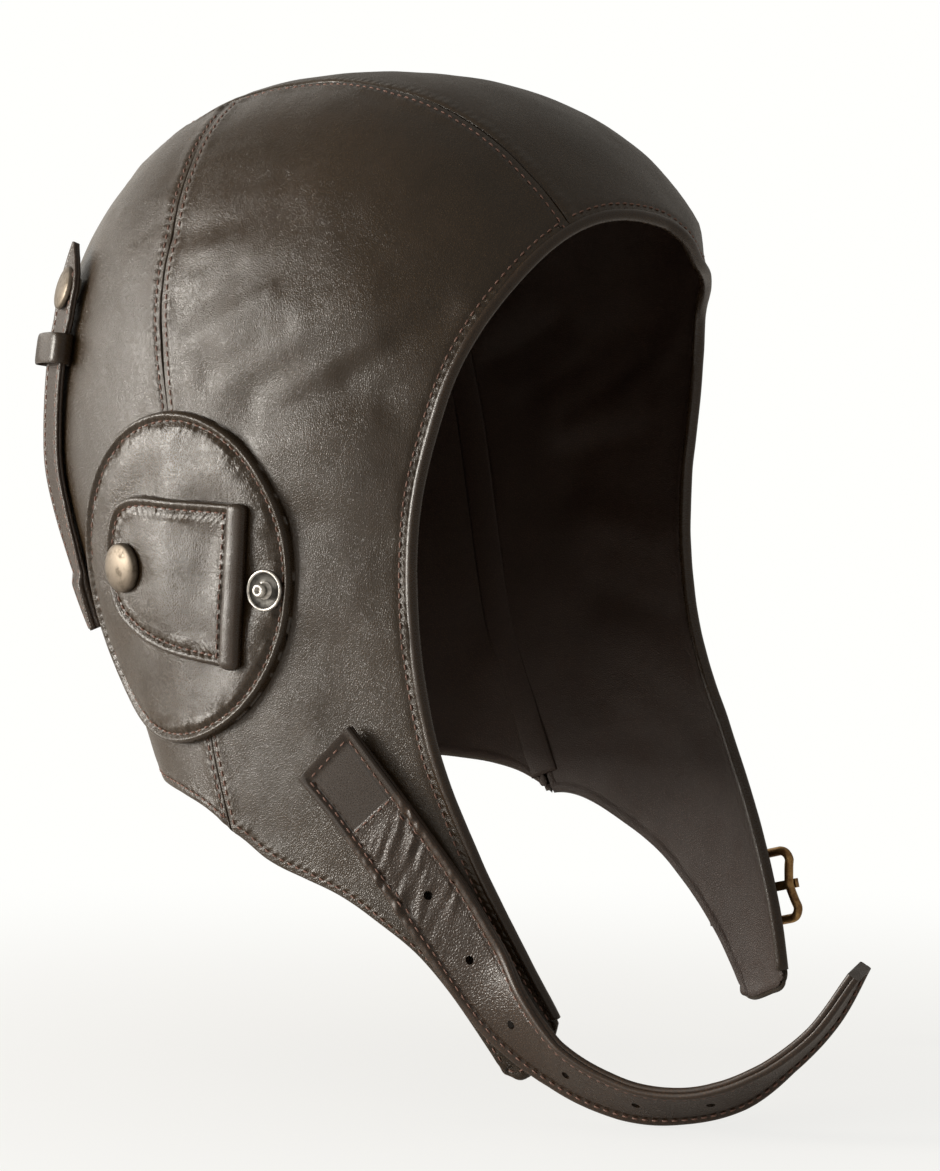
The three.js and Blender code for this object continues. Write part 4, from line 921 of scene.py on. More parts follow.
class HELMET_OT_shell(bpy.types.Operator):
    """Crown strip, side panels and back panels with their topstitching"""

    bl_idname = "helmet.shell"
    bl_label = "Leather shell"

    def execute(self, context):
        self.crown_strip()
        for side, word in SIDES.items():
            self.side_panel(side, word)
            self.back_panel(side, word)
            seam_tape(f"tape_strip_{word}", even(strip_edge(side), 160)[1:-3])
            seam_tape(f"tape_side_{word}", even(edge_line(SIDE_SEAM, side), 120)[1:-4])
        return {"FINISHED"}

    def crown_strip(self):
        """The strip over the crown, sewn at the brow and the nape."""
        panel = leather_panel(
            "leather_crown_strip", "crown_strip", strip_patch(), 120, 34,
            {"top": BINDING_ACROSS / 2, "bottom": 0, "start": 0.05, "end": 0.05},
            {"top": "binding", "bottom": "hem", "start": "plain", "end": "plain"}, 1.5,
        )
        sew_edge("stitches_brow", panel, "top", FACE_STITCH, 0.02, 0.98)
        sew_edge("stitches_nape", panel, "bottom", HEM_STITCH, 0.02, 0.98)

    def side_panel(self, side, word):
        panel = leather_panel(
            f"leather_side_{word}", f"side_panel_{word}", side_patch(side), 140, 70,
            {"top": 0.05, "bottom": 0, "start": 0.05, "end": BINDING_ACROSS / 2},
            {"top": "seam", "bottom": "hem", "start": "seam", "end": "binding"}, 4.5 + side,
        )
        sew_edge(f"stitches_strip_{word}", panel, "top", SEAM_STITCH, 0.01, 0.99)
        sew_edge(f"stitches_face_{word}", panel, "end", FACE_STITCH, 0.01, 0.98)
        sew_edge(f"stitches_side_{word}", panel, "start", SEAM_STITCH, 0.01, 0.985)
        sew_edge(f"stitches_tip_{word}", panel, "bottom", HEM_STITCH, 0.12, 0.85)

    def back_panel(self, side, word):
        panel = leather_panel(
            f"leather_back_{word}", f"back_panel_{word}", back_patch(side), 110, 34,
            {"top": 0.4, "bottom": 0, "start": 0.05, "end": 0.05},
            {"bottom": "hem", "start": "seam", "end": "seam"}, 9.5 + side,
        )
        sew_edge(f"stitches_back_strip_{word}", panel, "start", SEAM_STITCH, 0.05, 0.99)
        sew_edge(f"stitches_back_side_{word}", panel, "end", SEAM_STITCH, 0.05, 0.99)
        sew_edge(f"stitches_hem_{word}", panel, "bottom", HEM_STITCH, 0.02, 0.98)


class HELMET_OT_binding(bpy.types.Operator):
    """Rolled leather binding round the face opening"""

    bl_idname = "helmet.binding"
    bl_label = "Face binding"

    def execute(self, context):
        halves = [joined(face_line(s, "strip"), face_line(s, "panel")) for s in (1, -1)]
        line = even(np.vstack([halves[0][::-1], halves[1][1:]]), 420)
        points, normals = skin(line)
        inward = unit(np.cross(directions(points), normals))
        centres = points - inward * BINDING_ACROSS / 2
        centres = centres + normals * (BINDING_LIFT - BINDING_THICK / 2)
        uneven = 1 + 0.05 * ripple(points, 7, 2.0)[:, None, None]
        ring = oval_ring(BINDING_ACROSS + BINDING_OVERLAP, BINDING_THICK, 18)[None] * uneven
        bm = laid_over(tube(centres, inward, normals, ring))
        piece("leather_binding", bm, ["edge leather"], "face_binding")
        return {"FINISHED"}


def ear_place(side, along, level):
    """Points and normals of the skin at places on the ear cover."""
    tilt = math.radians(EAR_TILT)

    def measure(points):
        forward = -np.abs(points[..., 0]) * math.sin(tilt) + points[..., 1] * math.cos(tilt)
        return np.stack([forward, points[..., 2]], -1)

    return skin_where(measure, along, level, (170 * side, 30))


def length_inside(places, outline):
    """Shortest length from flat places to a closed outline."""
    start, step = outline, np.roll(outline, -1, 0) - outline
    away = places[..., None, :] - start
    share = np.clip((away * step).sum(-1) / (step * step).sum(-1), 0, 1)
    return np.linalg.norm(away - share[..., None] * step, axis=-1).min(-1)


def plate(side, outline, centre, profile, puckers, lumps, seed):
    """Closed leather plate over the skin: profile gives its height at lengths inside its outline."""
    outline = np.asarray(outline, float)
    centre = np.asarray(centre, float)
    run = np.roll(outline, -1, 0) - np.roll(outline, 1, 0)
    inward = unit(np.stack([-run[:, 1], run[:, 0]], -1))
    ray = centre - outline
    reach = np.linalg.norm(ray, axis=1)
    facing = np.clip(np.abs((inward * ray).sum(1)) / reach, 0.55, 1)
    near = np.concatenate([[0], np.linspace(0.25, 6, 22)]) / (reach * facing)[:, None]
    share = np.concatenate([near, near[:, -1:] + (1 - near[:, -1:]) * np.linspace(0, 1, 15)[1:]], 1)
    flat_places = outline[:, None] + ray[:, None] * share[..., None]
    points, normals = ear_place(side, flat_places[..., 0], flat_places[..., 1])
    gap = length_inside(flat_places, outline)
    height = np.interp(gap, *zip(*profile))
    height = height + puckers * ripple(points, 3.4, seed) * bump(gap, PUCKER_PLACE, 1.9)
    height = height + lumps * ripple(points, 15, seed + 4) * smooth(gap, 3, 8)
    top = points + normals * height[..., None]
    under = points + normals * profile[0][1]
    whole = np.concatenate([top[:, ::-1], under], 1)
    whole = np.concatenate([whole, whole[:1]], 0)
    chart = np.zeros((*whole.shape[:2], 2))
    chart[..., 0] = travel(whole[:, share.shape[1] - 1])[:, None]
    inside = np.concatenate([gap[:, ::-1], gap], 1)
    chart[..., 1] = np.concatenate([inside, inside[:1]], 0)
    return laid_over(whole, chart)


def ring_inside(side, outline, gap, rise):
    """Points over the skin along an outline, at a length inside it."""
    outline = np.asarray(outline, float)
    run = np.gradient(outline, axis=0)
    inward = unit(np.stack([run[:, 1], -run[:, 0]], -1))
    middle = outline.mean(0)
    if ((middle - outline) * inward).sum() < 0:
        inward = -inward
    places = outline + inward * gap
    points, normals = ear_place(side, places[:, 0], places[:, 1])
    return points + normals * rise


def turned(name, profile, place, normal, rise, finishes, stands_for, dish=(0, 0)):
    """Metal piece spun from a profile of (radius, height), with its second finish between two radii."""
    bm = bmesh.new()
    verts = [bm.verts.new((radius, 0, height)) for radius, height in profile]
    edges = [bm.edges.new(pair) for pair in zip(verts, verts[1:])]
    bmesh.ops.spin(
        bm, geom=verts + edges, cent=(0, 0, 0), axis=(0, 0, 1), angle=2 * math.pi, steps=48, use_merge=True,
    )
    bmesh.ops.remove_doubles(bm, verts=bm.verts, dist=1e-4)
    bmesh.ops.recalc_face_normals(bm, faces=bm.faces)
    for face in bm.faces:
        face.material_index = int(dish[0] < face.calc_center_median().xy.length < dish[1])
    facing = Vector(normal).to_track_quat("Z", "Y").to_matrix().to_4x4()
    place = Vector(place) + Vector(normal) * rise
    bmesh.ops.transform(bm, matrix=Matrix.Translation(place) @ facing, verts=bm.verts)
    piece(name, bm, finishes, stands_for)


def cap_profile(across, tall):
    """Domed cap with a rolled rim, closed below."""
    half = across / 2
    rim = ((0, 0), (0.8, 0), (0.97, 0.04), (1, 0.16), (0.985, 0.3))
    angles = np.linspace(0.28, math.pi / 2, 12)
    dome = [(math.cos(a), 0.32 + 0.68 * math.sin(a) ** 0.8) for a in angles[:-1]]
    return [(half * out, tall * up) for out, up in (*rim, *dome, (0, 1))]


def stud_profile(across, tall):
    """Low dish with a thin raised ring, and a post with a bead on it."""
    half = across / 2
    dish = (
        (0, 0), (1, 0), (1, 0.5), (0.985, 0.8), (0.94, 0.98), (0.88, 0.95), (0.84, 0.7), (0.82, 0.42),
        (0.5, 0.34), (0.42, 0.4), (0.34, 0.7), (0.28, 1.1),
    )
    post = (
        (0.26, 0.5), (0.33, 0.64), (0.36, 0.78), (0.32, 0.93), (0.24, 1), (0.13, 0.98), (0.1, 0.8), (0, 0.78),
    )
    return [(half * out, up) for out, up in dish] + [(half * out, tall * up) for out, up in post]


class HELMET_OT_ear_covers(bpy.types.Operator):
    """Oval ear patches, the D-shaped flaps on them, their snap caps and snap studs"""

    bl_idname = "helmet.ear_covers"
    bl_label = "Ear covers"

    def execute(self, context):
        for side, word in SIDES.items():
            self.patch(side, word)
            self.flap(side, word)
            self.roll(side, word)
            self.snaps(side, word)
        return {"FINISHED"}

    def patch(self, side, word):
        angle = np.linspace(0, 2 * math.pi, 260, endpoint=False)
        oval = np.stack([
            PATCH_CENTRE + np.cos(angle) * PATCH_ACROSS / 2, PATCH_LEVEL + np.sin(angle) * PATCH_TALL / 2,
        ], -1)
        centre = PATCH_CENTRE, PATCH_LEVEL
        bm = plate(side, oval, centre, PATCH_PROFILE, PATCH_PUCKERS, PATCH_LUMPS, 3.0 + side)
        made = piece(f"leather_ear_patch_{word}", bm, ["ear leather"], stands_for=f"ear_patch_{word}")
        line = ring_inside(side, np.vstack([oval, oval[:1]]), PATCH_STITCH, PATCH_STITCH_RISE)
        sew(f"stitches_ear_patch_{word}", line, surface_of(made))

    def outline(self):
        """Outline of the flap, and its curved part without the straight front."""
        curve = even(bend_through(FLAP_OUTLINE), 110)
        last, first = curve[-1], curve[0]
        front = [last + (first - last) * share for share in np.linspace(0, 1, 42)[1:-1]]
        return np.vstack([curve, front]), curve

    def flap(self, side, word):
        outline, curve = self.outline()
        bm = plate(side, outline, FLAP_CENTRE, FLAP_PROFILE, FLAP_PUCKERS, FLAP_LUMPS, 6.0 + side)
        made = piece(f"leather_ear_flap_{word}", bm, ["ear leather"], stands_for=f"ear_flap_{word}")
        line = ring_inside(side, curve[3:-3], FLAP_STITCH, FLAP_STITCH_RISE)
        sew(f"stitches_ear_flap_{word}", line, surface_of(made))
        front = curve[-1] + (curve[0] - curve[-1]) * np.linspace(0.05, 0.95, 50)[:, None] + (ROLL_STITCH, 0)
        points, normals = ear_place(side, front[:, 0], front[:, 1])
        sew(f"stitches_flap_front_{word}", points + normals * FLAP_TOP, surface_of(made))

    def roll(self, side, word):
        """Thick rolled front edge of the flap, standing over its stitch line."""
        steps = np.linspace(0.0, 1.0, 90)[:, None]
        first, last = np.array(FLAP_OUTLINE[0]), np.array(FLAP_OUTLINE[-1])
        line = last + (first - last) * steps + np.array((ROLL_AHEAD, 0))
        points, normals = ear_place(side, line[:, 0], line[:, 1])
        across = np.cross(directions(points), normals)
        centres = points + normals * (ROLL_LOW + ROLL_TALL / 2)
        centres = centres + normals * (0.2 * ripple(points, 9, 2.5))[:, None]
        ring = oval_ring(ROLL_ACROSS, ROLL_TALL, 28)
        half = np.array((ROLL_ACROSS / 2, ROLL_TALL / 2))
        ring = np.sign(ring) * np.abs(ring / half) ** ROLL_SQUARE * half
        length = np.linalg.norm(points[0] - points[-1])
        inset = np.minimum(steps, 1 - steps)[:, 0] * length
        rounded = np.sqrt(1 - (1 - np.clip(inset / ROLL_END, 0, 1)) ** 2)
        full = ROLL_END_SHARE + (1 - ROLL_END_SHARE) * rounded
        rings = ring[None] * (full * (1 + 0.06 * ripple(points, 12, 5.5)))[:, None, None]
        piece(f"leather_flap_roll_{word}", laid_over(tube(centres, across, normals, rings)), ["edge leather"])

    def snaps(self, side, word):
        place, normal = ear_place(side, CAP_ALONG, CAP_LEVEL)
        turned(
            f"cap_{word}", cap_profile(CAP_ACROSS, CAP_TALL), place, normal, FLAP_TOP - 0.1,
            ["old brass"], f"snap_cap_{word}",
        )
        place, normal = ear_place(side, STUD_ALONG, STUD_LEVEL)
        turned(
            f"stud_{word}", stud_profile(STUD_ACROSS, STUD_TALL), place, normal, PATCH_TOP + 0.05,
            ["nickel", "dark nickel"], f"snap_stud_{word}",
            [share * STUD_ACROSS for share in STUD_DISH],
        )


def back_place(side, out, level):
    """Points and normals of the skin on the back quarter, by distance from the middle and level."""
    measure = lambda points: np.stack([np.abs(points[..., 0]), points[..., 2]], -1)
    return skin_where(measure, out, level, (60 * side, 110))


def strap_ring(width, thick, stitch, welt, ends=1.0):
    """Section of a sewn strap: welted edges, a line between its layers, and a dip at the stitches."""
    half = width / 2
    share = np.linspace(-1, 1, 41)
    across = half * np.sign(share) * np.abs(share) ** 0.7 * 0.98
    gap = half - np.abs(across)
    top = thick / 2 - welt * smooth(gap, stitch * 0.45, stitch) * ends
    top = top - bump(gap, stitch, STRAP_DIP_WIDTH, STRAP_DIP) * ends
    top = top - thick * STRAP_ROUND * (1 - np.clip(gap / STRAP_ROUND_REACH, 0, 1)) ** 2
    low, line, deep = thick * STRAP_CORNER, thick * STRAP_LINE, half - STRAP_LINE_DEPTH
    edge = [(half, low), (half + 0.03, line * 2), (half, line), (deep, 0), (half, -line), (half, -low)]
    upper = list(zip(across, top))
    lower = [(a, -t) for a, t in upper[::-1]]
    other = [(-a, b) for a, b in edge[::-1]]
    return np.array(upper + edge + lower + other)


class HELMET_OT_goggle_straps(bpy.types.Operator):
    """Goggle straps on the back quarters with their snaps and keeper loops"""

    bl_idname = "helmet.goggle_straps"
    bl_label = "Goggle straps"

    def execute(self, context):
        for side, word in SIDES.items():
            self.strap(side, word)
            self.keeper(side, word)
        return {"FINISHED"}

    def rows(self, side):
        """The strap's table in even steps, with its places, outward faces and across directions."""
        table = even(np.array(GOGGLE_ROWS, float), 110)
        points, normals = back_place(side, table[:, 1], table[:, 0])
        return table, points, normals, unit(np.cross((0, 0, 1.0), normals))

    def strap(self, side, word):
        table, points, normals, across = self.rows(side)
        centres = points + normals * (table[:, 2] + table[:, 4] / 2 - GOGGLE_SINK)[:, None]
        centres = centres + normals * (GOGGLE_WAVE * ripple(points, GOGGLE_WAVE_SIZE, 5.0 + side))[:, None]
        rings = np.array([strap_ring(*row[3:], GOGGLE_STITCH, GOGGLE_WELT) for row in table])
        bm = laid_over(tube(centres, across, normals, rings))
        made = piece(
            f"leather_goggle_strap_{word}", bm, ["tab leather"], f"goggle_strap_{word}",
        )
        surface = surface_of(made)
        lift = normals * (table[:, 4:] / 2 + 0.2)
        for edge, sign in (("inner", -1), ("outer", 1)):
            line = (centres + across * sign * GOGGLE_STITCH_OUT + lift)[14:]
            sew(f"stitches_goggle_{edge}_{word}", line, surface)
        row = int(np.argmin(np.abs(table[:, 0] - GOGGLE_SNAP_LEVEL)))
        profile = cap_profile(GOGGLE_SNAP_ACROSS, GOGGLE_SNAP_TALL)
        turned(
            f"goggle_cap_{word}", profile, centres[row], normals[row], table[row, 4] / 2 - 0.2,
            ["old brass"], f"goggle_snap_{word}",
        )

    def keeper(self, side, word):
        table, points, normals, across = self.rows(side)
        row = int(np.argmin(np.abs(table[:, 0] - KEEPER_LEVEL)))
        half = table[row, 3] / 2 + KEEPER_ROOM
        high = table[row, 2] + table[row, 4] + KEEPER_ROOM
        corners = ((-half, KEEPER_LOW), (-half, high), (half, high), (half, KEEPER_LOW), (-half, KEEPER_LOW))
        ring = even(bend_through(corners, 12), 60)[:-1]
        rounded = (np.roll(ring, 1, 0) + ring + np.roll(ring, -1, 0)) / 3
        path = points[row] + rounded[:, :1] * across[row] + rounded[:, 1:] * normals[row]
        outward = unit(path - path.mean(0))
        sideways = np.repeat(np.cross(across[row], normals[row])[None], len(path), 0)
        section = oval_ring(KEEPER_TALL, KEEPER_WALL * 1.2, 20)
        share = section[:, 0] / KEEPER_TALL * 2
        section[:, 0] = np.sign(share) * np.abs(share) ** 0.5 * KEEPER_TALL / 2
        bm = laid_over(tube(path, sideways, outward, section, closed=True))
        piece(f"leather_keeper_{word}", bm, ["edge leather"], f"goggle_keeper_{word}")


def flap_place(side, y, z):
    """Points and normals of the skin on the side of a flap, by distance back and level."""
    return skin_where(lambda points: points[..., 1:], y, z, (190 * side, -120))


class HELMET_OT_chin_strap(bpy.types.Operator):
    """Long chin strap, sewn on the right flap and curling forward, with its holes"""

    bl_idname = "helmet.chin_strap"
    bl_label = "Chin strap"

    def rows(self, count):
        """Centres, outward faces, across directions and widths along the strap."""
        sewn = np.array(STRAP_SEWN, float)
        free = np.array(STRAP_FREE, float)
        points, normals = flap_place(1, sewn[:, 0], sewn[:, 1])
        middle = STRAP_GAP + STRAP_THICK / 2
        centres = np.vstack([points + normals * middle, free[:, :3]])
        widths = np.concatenate([sewn[:, 2], free[:, 4]])
        dense = 60
        line = bend_through(centres, dense)
        run = directions(line)
        place = np.minimum(np.arange(len(line)) / dense, len(centres) - 1)
        faces = []
        for k, where in enumerate(place):
            low = min(int(where), len(centres) - 2)
            pair = [self.face(row, normals, free, run[k]) for row in (low, low + 1)]
            faces.append(pair[0] + (pair[1] - pair[0]) * (where - low))
        faces = np.array(faces)
        faces = unit(faces - run * (faces * run).sum(1, keepdims=True))
        width = np.interp(place, np.arange(len(widths)), widths)
        travelled = travel(line)
        steps = np.linspace(0, travelled[-1], count)
        columns = np.hstack([line, faces, width[:, None]]).T
        table = np.stack([np.interp(steps, travelled, column) for column in columns], -1)
        faces = unit(table[:, 3:6])
        return table[:, :3], faces, np.cross(faces, directions(table[:, :3])), table[:, 6]

    def face(self, row, normals, free, run):
        """Outward face at a row of the tables: off the flap, or turned about the strap's run."""
        if row < len(normals):
            return normals[row]
        below = unit(np.array((0, run[2], -run[1])))
        turn = math.radians(free[row - len(normals), 3])
        return np.array((-math.cos(turn), 0, 0)) - below * math.sin(turn)

    def execute(self, context):
        centres, faces, across, widths = self.rows(260)
        travelled = travel(centres)
        wavy = STRAP_WAVE * ripple(centres, STRAP_WAVE_SIZE, 8.0)[:, None]
        end = travelled[-1]
        shown = smooth(travelled, 0.4, STRAP_STITCH) * (1 - smooth(travelled, end - 3, end))
        rings = np.array([
            strap_ring(width, STRAP_THICK - STRAP_SLACK, STRAP_STITCH, STRAP_WELT, share)
            for width, share in zip(widths, shown)
        ])
        rings[..., 1] += self.wrinkles(rings, travelled)
        gap = widths[:, None] / 2 - np.abs(rings[..., 0])
        chart = np.stack([np.repeat(travelled[:, None], gap.shape[1], 1), gap], -1)
        chart = np.concatenate([chart, chart[:, :1]], 1)
        chart = np.concatenate([chart[:1]] * 3 + [chart] + [chart[-1:]] * 3)
        bm = laid_over(tube(centres + faces * wavy, across, faces, rings), chart)
        made = piece("leather_chin_strap", bm, ["strap leather"], "chin_strap")
        self.punch(made, centres, faces, travelled)
        surface = surface_of(made)
        lift = faces * STRAP_THICK / 2
        for edge, sign in (("front", 1), ("back", -1)):
            line = (centres + across * (sign * (widths / 2 - STRAP_STITCH))[:, None] + lift)[3:-4]
            sew(f"stitches_chin_{edge}", line, surface)
        box = int(np.argmax(travelled > STRAP_BOX))
        for name, row in (("start", 3), ("end", box)):
            steps = np.linspace(-1, 1, 12)[:, None] * (widths[row] / 2 - 3)
            sew(f"stitches_chin_{name}", centres[row] + lift[row] + across[row] * steps, surface)
        return {"FINISHED"}

    def wrinkles(self, rings, travelled):
        """Slanting creases of the upper face where the strap leaves its sewn end."""
        creased = bump(travelled, WRINKLE_PLACE, WRINKLE_SPREAD)
        creased = creased * smooth(travelled, STRAP_BOX, STRAP_BOX + WRINKLE_START)
        rise = np.zeros(rings.shape[:2])
        for k in np.flatnonzero(creased > 0.02):
            along = travelled[k]
            for j in np.flatnonzero(rings[k, :, 1] > STRAP_THICK * 0.2):
                across = rings[k, j, 0]
                place = Vector((along * 0.42 + across * 0.26, across * 0.06 - along * 0.05, 3.0))
                rise[k, j] = creased[k] * WRINKLE_RISE * noise.fractal(place, 0.8, 2.0, 3)
        return rise

    def punch(self, made, centres, faces, travelled):
        """Cuts the round holes through the strap."""
        cutter = bmesh.new()
        radius = STRAP_HOLE_ACROSS * MM / 2
        for k in range(STRAP_HOLES):
            row = int(np.argmax(travelled >= STRAP_HOLE_FIRST + STRAP_HOLE_PITCH * k))
            facing = Vector(faces[row]).to_track_quat("Z", "Y").to_matrix().to_4x4()
            bmesh.ops.create_cone(
                cutter, cap_ends=True, segments=20, radius1=radius, radius2=radius,
                depth=STRAP_THICK * MM * 3, matrix=Matrix.Translation(Vector(centres[row]) * MM) @ facing,
            )
        tool = placed("punch", mesh_of("punch", cutter))
        cut = made.modifiers.new("holes", "BOOLEAN")
        cut.object = tool
        cut.solver = "EXACT"
        ready = made.evaluated_get(bpy.context.evaluated_depsgraph_get())
        made.data = bpy.data.meshes.new_from_object(ready)
        made.modifiers.clear()
        made.data.set_sharp_from_angle(angle=math.radians(50))
        bpy.data.objects.remove(tool)


def finish_node(node, finish):
    """Gives a finish to a node that shows as the frame has it."""
    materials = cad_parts[node].data.materials
    materials.clear()
    materials.append(finish_of(finish))


class HELMET_OT_buckle(bpy.types.Operator):
    """Brass buckle frame, its prong and the leather tab round its bar"""

    bl_idname = "helmet.buckle"
    bl_label = "Buckle"

    def axes(self):
        """The bar's middle, the way the strap runs, the bar's way and the outward face."""
        point, normal = flap_place(-1, BUCKLE_Y, BUCKLE_Z)
        down = math.radians(BUCKLE_DOWN)
        run = np.array((0, -math.cos(down), -math.sin(down)))
        run = unit(run - normal * (run @ normal))
        centre = point + normal * (TAB_GAP + BUCKLE_WIRE + TAB_CLEAR + TAB_THICK)
        return centre, run, np.cross(run, normal), normal

    def execute(self, context):
        centre, run, bar, normal = self.axes()
        half, corner, long = BUCKLE_WIDTH / 2, BUCKLE_CORNER, BUCKLE_LENGTH
        path = []
        for x, z, start in (
            (long - corner, half - corner, 0), (corner, half - corner, 90),
            (corner, corner - half, 180), (long - corner, corner - half, 270),
        ):
            for angle in np.radians(start + np.linspace(0, 90, 9)):
                path.append((x + math.cos(angle) * corner, z + math.sin(angle) * corner))
        for share in np.linspace(-1, 1, 11)[1:-1]:
            sink = BUCKLE_WAIST * (1 - abs(share)) ** 0.8
            path.append((long - sink, share * (half - corner)))
        path = even(np.array([*path, path[0]]), 150)[:-1]
        points = centre + path[:, :1] * run + path[:, 1:] * bar
        middle = centre + run * long / 2
        tangent = np.roll(points, -1, 0) - np.roll(points, 1, 0)
        outward = unit(np.cross(tangent, normal))
        flip = np.sign(((points - middle) * outward).sum(1, keepdims=True))
        section = oval_ring(BUCKLE_WIRE * 2, BUCKLE_WIRE * 2, 14)
        upward = np.repeat(normal[None], len(points), 0)
        bm = laid_over(tube(points, outward * flip, upward, section, closed=True))
        piece("brass_frame", bm, ["buckle brass"], "buckle_frame", "buckle")
        self.tab()
        finish_node("buckle_prong", "buckle brass")
        return {"FINISHED"}

    def tab(self):
        """The frame's own tab with softened edges."""
        bm = bmesh.new()
        bm.from_mesh(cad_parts["buckle_tab"].data)
        bmesh.ops.scale(bm, vec=(1 / MM,) * 3, verts=bm.verts)
        bmesh.ops.remove_doubles(bm, verts=bm.verts, dist=1e-3)
        sharp = [edge for edge in bm.edges if len(edge.link_faces) == 2 and edge.calc_face_angle() > 0.8]
        bmesh.ops.bevel(
            bm, geom=sharp, offset=0.3, affect="EDGES", segments=2, profile=0.5, material=-1,
            clamp_overlap=True,
        )
        piece("leather_buckle_tab", bm, ["tab leather"], "buckle_tab")


class HELMET_OT_stage(bpy.types.Operator):
    """Pale floor, soft studio light and the photograph's camera"""

    bl_idname = "helmet.stage"
    bl_label = "Stage"

    def execute(self, context):
        settings = context.scene.helmet_stage
        self.floor()
        self.world(context, settings)
        for name, (azimuth, elevation, *size) in LIGHTS.items():
            self.light(name, azimuth, elevation, size, getattr(settings, name + "_power"))
        self.camera(context)
        context.scene.view_settings.view_transform = "Standard"
        return {"FINISHED"}

    def floor(self):
        """A wide disc of pale paper that fades into the background."""
        low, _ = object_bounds()
        bm = bmesh.new()
        bmesh.ops.create_circle(bm, cap_ends=True, segments=96, radius=6)
        bmesh.ops.translate(bm, vec=(0, 0, low.z - 0.0005), verts=bm.verts)
        floor = placed("floor", mesh_of("floor", bm))
        floor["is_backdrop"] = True
        finish = Finish("pale paper")
        far = finish.node("VectorMath", {"operation": "LENGTH"}, {0: finish.place}, "Value")
        paper = finish.node("BsdfPrincipled", {}, {"Base Color": PAPER, "Roughness": 0.8})
        haze = finish.node("Emission", {}, {"Color": HAZE, "Strength": 1.0})
        seen = finish.node("LightPath", output="Is Camera Ray")
        share = (finish.between(far, 0.1, 0.55) * 0.4 + 0.6) * seen
        mixed = finish.node("MixShader", {}, {0: share, 1: paper, 2: haze})
        finish.node("OutputMaterial", {}, {"Surface": mixed})
        floor.data.materials.append(finish.material)

    def world(self, context, settings):
        """A white background, and dimmer warm light from it."""
        world = bpy.data.worlds.new("studio")
        world.use_nodes = True
        tree = world.node_tree
        pale = tree.nodes["Background"]
        pale.inputs["Color"].default_value = ROOM_SEEN
        dim = tree.nodes.new("ShaderNodeBackground")
        dim.inputs["Color"].default_value = ROOM_LIGHT
        dim.inputs["Strength"].default_value = settings.room
        seen = tree.nodes.new("ShaderNodeLightPath")
        mixed = tree.nodes.new("ShaderNodeMixShader")
        tree.links.new(seen.outputs["Is Camera Ray"], mixed.inputs[0])
        tree.links.new(dim.outputs[0], mixed.inputs[1])
        tree.links.new(pale.outputs[0], mixed.inputs[2])
        tree.links.new(mixed.outputs[0], tree.nodes["World Output"].inputs["Surface"])
        context.scene.world = world

    def light(self, name, azimuth, elevation, size, power):
        """A soft area light that looks at the helmet's middle."""
        data = bpy.data.lights.new(name, "AREA")
        data.shape = "RECTANGLE"
        data.size, data.size_y = size
        data.energy = power
        data.color = LIGHT_COLOUR
        lamp = placed(name, data)
        a, e = math.radians(azimuth), math.radians(elevation)
        back = Vector((math.sin(a) * math.cos(e), -math.cos(a) * math.cos(e), math.sin(e)))
        lamp.location = (CAD_BOX[0] + CAD_BOX[1]) / 2 + back * LIGHT_FAR
        lamp.rotation_euler = back.to_track_quat("Z", "Y").to_euler()

    def camera(self, context):
        """The photograph's camera."""
        data = bpy.data.cameras.new("camera")
        data.lens = CAMERA_LENS
        data.clip_start, data.clip_end = 0.05, 50
        camera = placed("camera", data)
        turn, tilt = math.radians(CAMERA_TURN), math.radians(CAMERA_TILT)
        look = Vector((math.cos(turn) * math.cos(tilt), math.sin(turn) * math.cos(tilt), -math.sin(tilt)))
        camera.location = Vector(CAMERA_PLACE) * MM
        camera.rotation_euler = (-look).to_track_quat("Z", "Y").to_euler()
        context.scene.camera = camera


def colour_setting(name, description, default):
    """A colour on the panel."""
    return FloatVectorProperty(
        name=name, description=description, subtype="COLOR", default=default, min=0, max=1,
    )


def length_setting(name, description, default):
    """A length on the panel, in metres."""
    return FloatProperty(name=name, description=description, default=default, unit="LENGTH")


def power_setting(name, description, default):
    """A light's power on the panel, in watts."""
    return FloatProperty(name=name, description=description, default=default, unit="POWER")


class HelmetLeather(bpy.types.PropertyGroup):
    """Colours and shine of the leather"""

    colour: colour_setting("Shell", "Shell leather", (0.040, 0.024, 0.0105))
    edge_colour: colour_setting("Binding", "Rolled binding", (0.040, 0.024, 0.013))
    strap_colour: colour_setting("Straps", "Strap leather", (0.044, 0.026, 0.015))
    lining_colour: colour_setting("Lining", "Inner face", (0.038, 0.018, 0.010))
    thread_colour: colour_setting("Thread", "Sewing thread", (0.20, 0.11, 0.085))
    roughness: FloatProperty(
        name="Roughness", description="Roughness of the shell", default=0.28, min=0, max=1,
    )


class HelmetThread(bpy.types.PropertyGroup):
    """Sizes of the stitches"""

    pitch: length_setting("Pitch", "From stitch to stitch", STITCH_PITCH)
    length: length_setting("Length", "Visible stitch", 0.0018)
    across: length_setting("Thread", "Thread thickness", 0.0005)


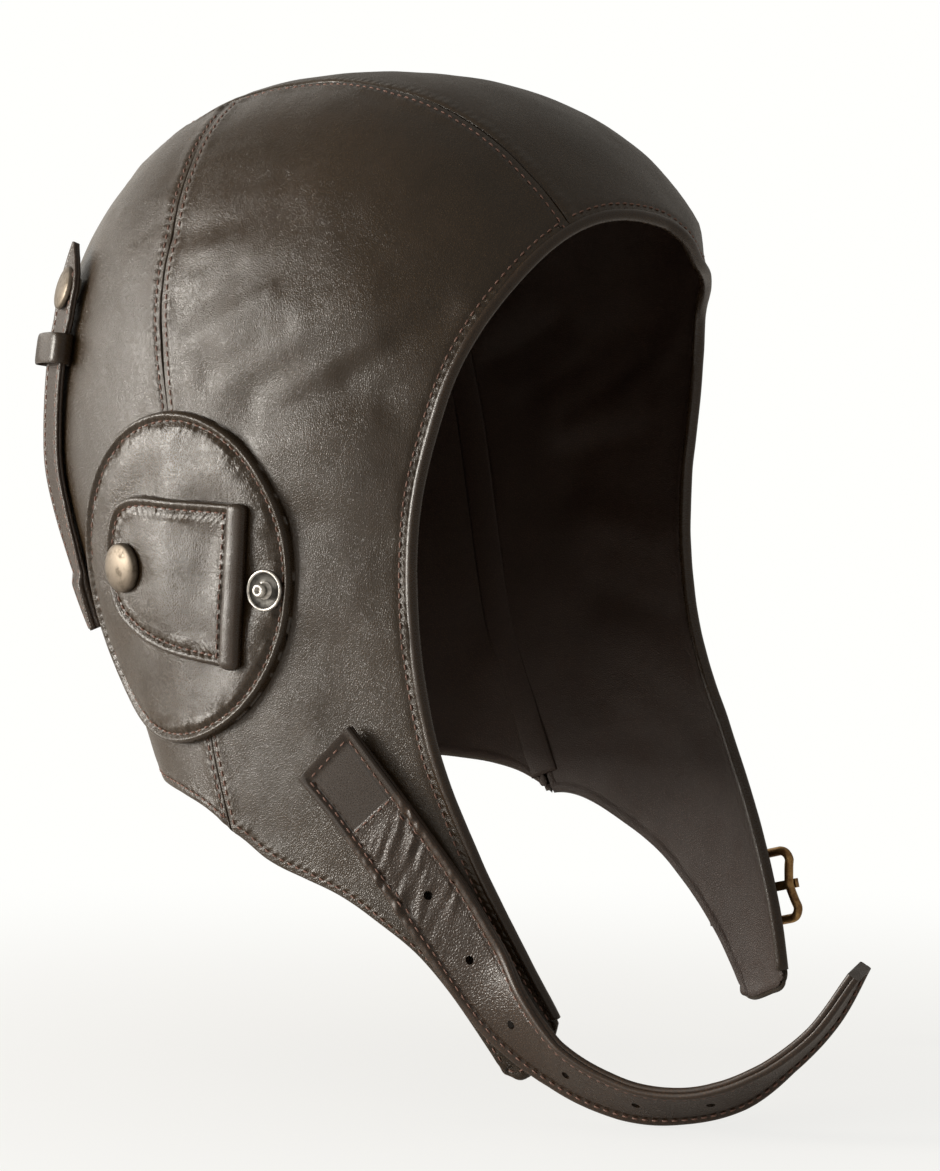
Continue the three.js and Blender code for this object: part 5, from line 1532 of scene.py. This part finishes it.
class HelmetMetal(bpy.types.PropertyGroup):
    """Colours of the metal pieces"""

    cap_colour: colour_setting("Snap caps", "Antique brass", (0.19, 0.160, 0.128))
    stud_colour: colour_setting("Studs", "Bright nickel", (0.72, 0.70, 0.66))
    buckle_colour: colour_setting("Buckle", "Buckle brass", (0.52, 0.33, 0.14))


class HelmetStage(bpy.types.PropertyGroup):
    """Strength of the studio light"""

    key_power: power_setting("Key", "Large light at the left", 30)
    side_power: power_setting("Side", "Light behind the back", 4)
    fill_power: power_setting("Fill", "Low light beside the camera", 3)
    rim_power: power_setting("Rim", "Light above and behind", 2)
    room: FloatProperty(name="Room", description="Light of the pale room", default=0.33, min=0)


OPERATORS = (
    HELMET_OT_shell,
    HELMET_OT_binding,
    HELMET_OT_ear_covers,
    HELMET_OT_goggle_straps,
    HELMET_OT_chin_strap,
    HELMET_OT_buckle,
    HELMET_OT_stage,
)
SETTINGS = {
    "helmet_leather": HelmetLeather,
    "helmet_thread": HelmetThread,
    "helmet_metal": HelmetMetal,
    "helmet_stage": HelmetStage,
}


class HELMET_PT_panel(bpy.types.Panel):
    """Lists the helmet's pieces and settings"""

    bl_label = "Leather motoring helmet"
    bl_idname = "HELMET_PT_panel"
    bl_space_type = "VIEW_3D"
    bl_region_type = "UI"
    bl_category = "Helmet"

    def draw(self, context):
        for operator in OPERATORS:
            self.layout.operator(operator.bl_idname)
        for name, group in SETTINGS.items():
            box = self.layout.box()
            for key in group.__annotations__:
                box.prop(getattr(context.scene, name), key)


def register():
    for group in (*SETTINGS.values(), *OPERATORS, HELMET_PT_panel):
        bpy.utils.register_class(group)
    for name, group in SETTINGS.items():
        setattr(bpy.types.Scene, name, PointerProperty(type=group))


def unregister():
    for name in SETTINGS:
        delattr(bpy.types.Scene, name)
    for group in reversed((*SETTINGS.values(), *OPERATORS, HELMET_PT_panel)):
        bpy.utils.unregister_class(group)


def main():
    register()
    bpy.ops.helmet.shell()
    bpy.ops.helmet.binding()
    bpy.ops.helmet.ear_covers()
    bpy.ops.helmet.goggle_straps()
    bpy.ops.helmet.chin_strap()
    bpy.ops.helmet.buckle()
    for word in SIDES.values():
        finish_node(f"goggle_stud_{word}", "old brass")
    bpy.ops.helmet.stage()


if __name__ == "__main__":
    main()
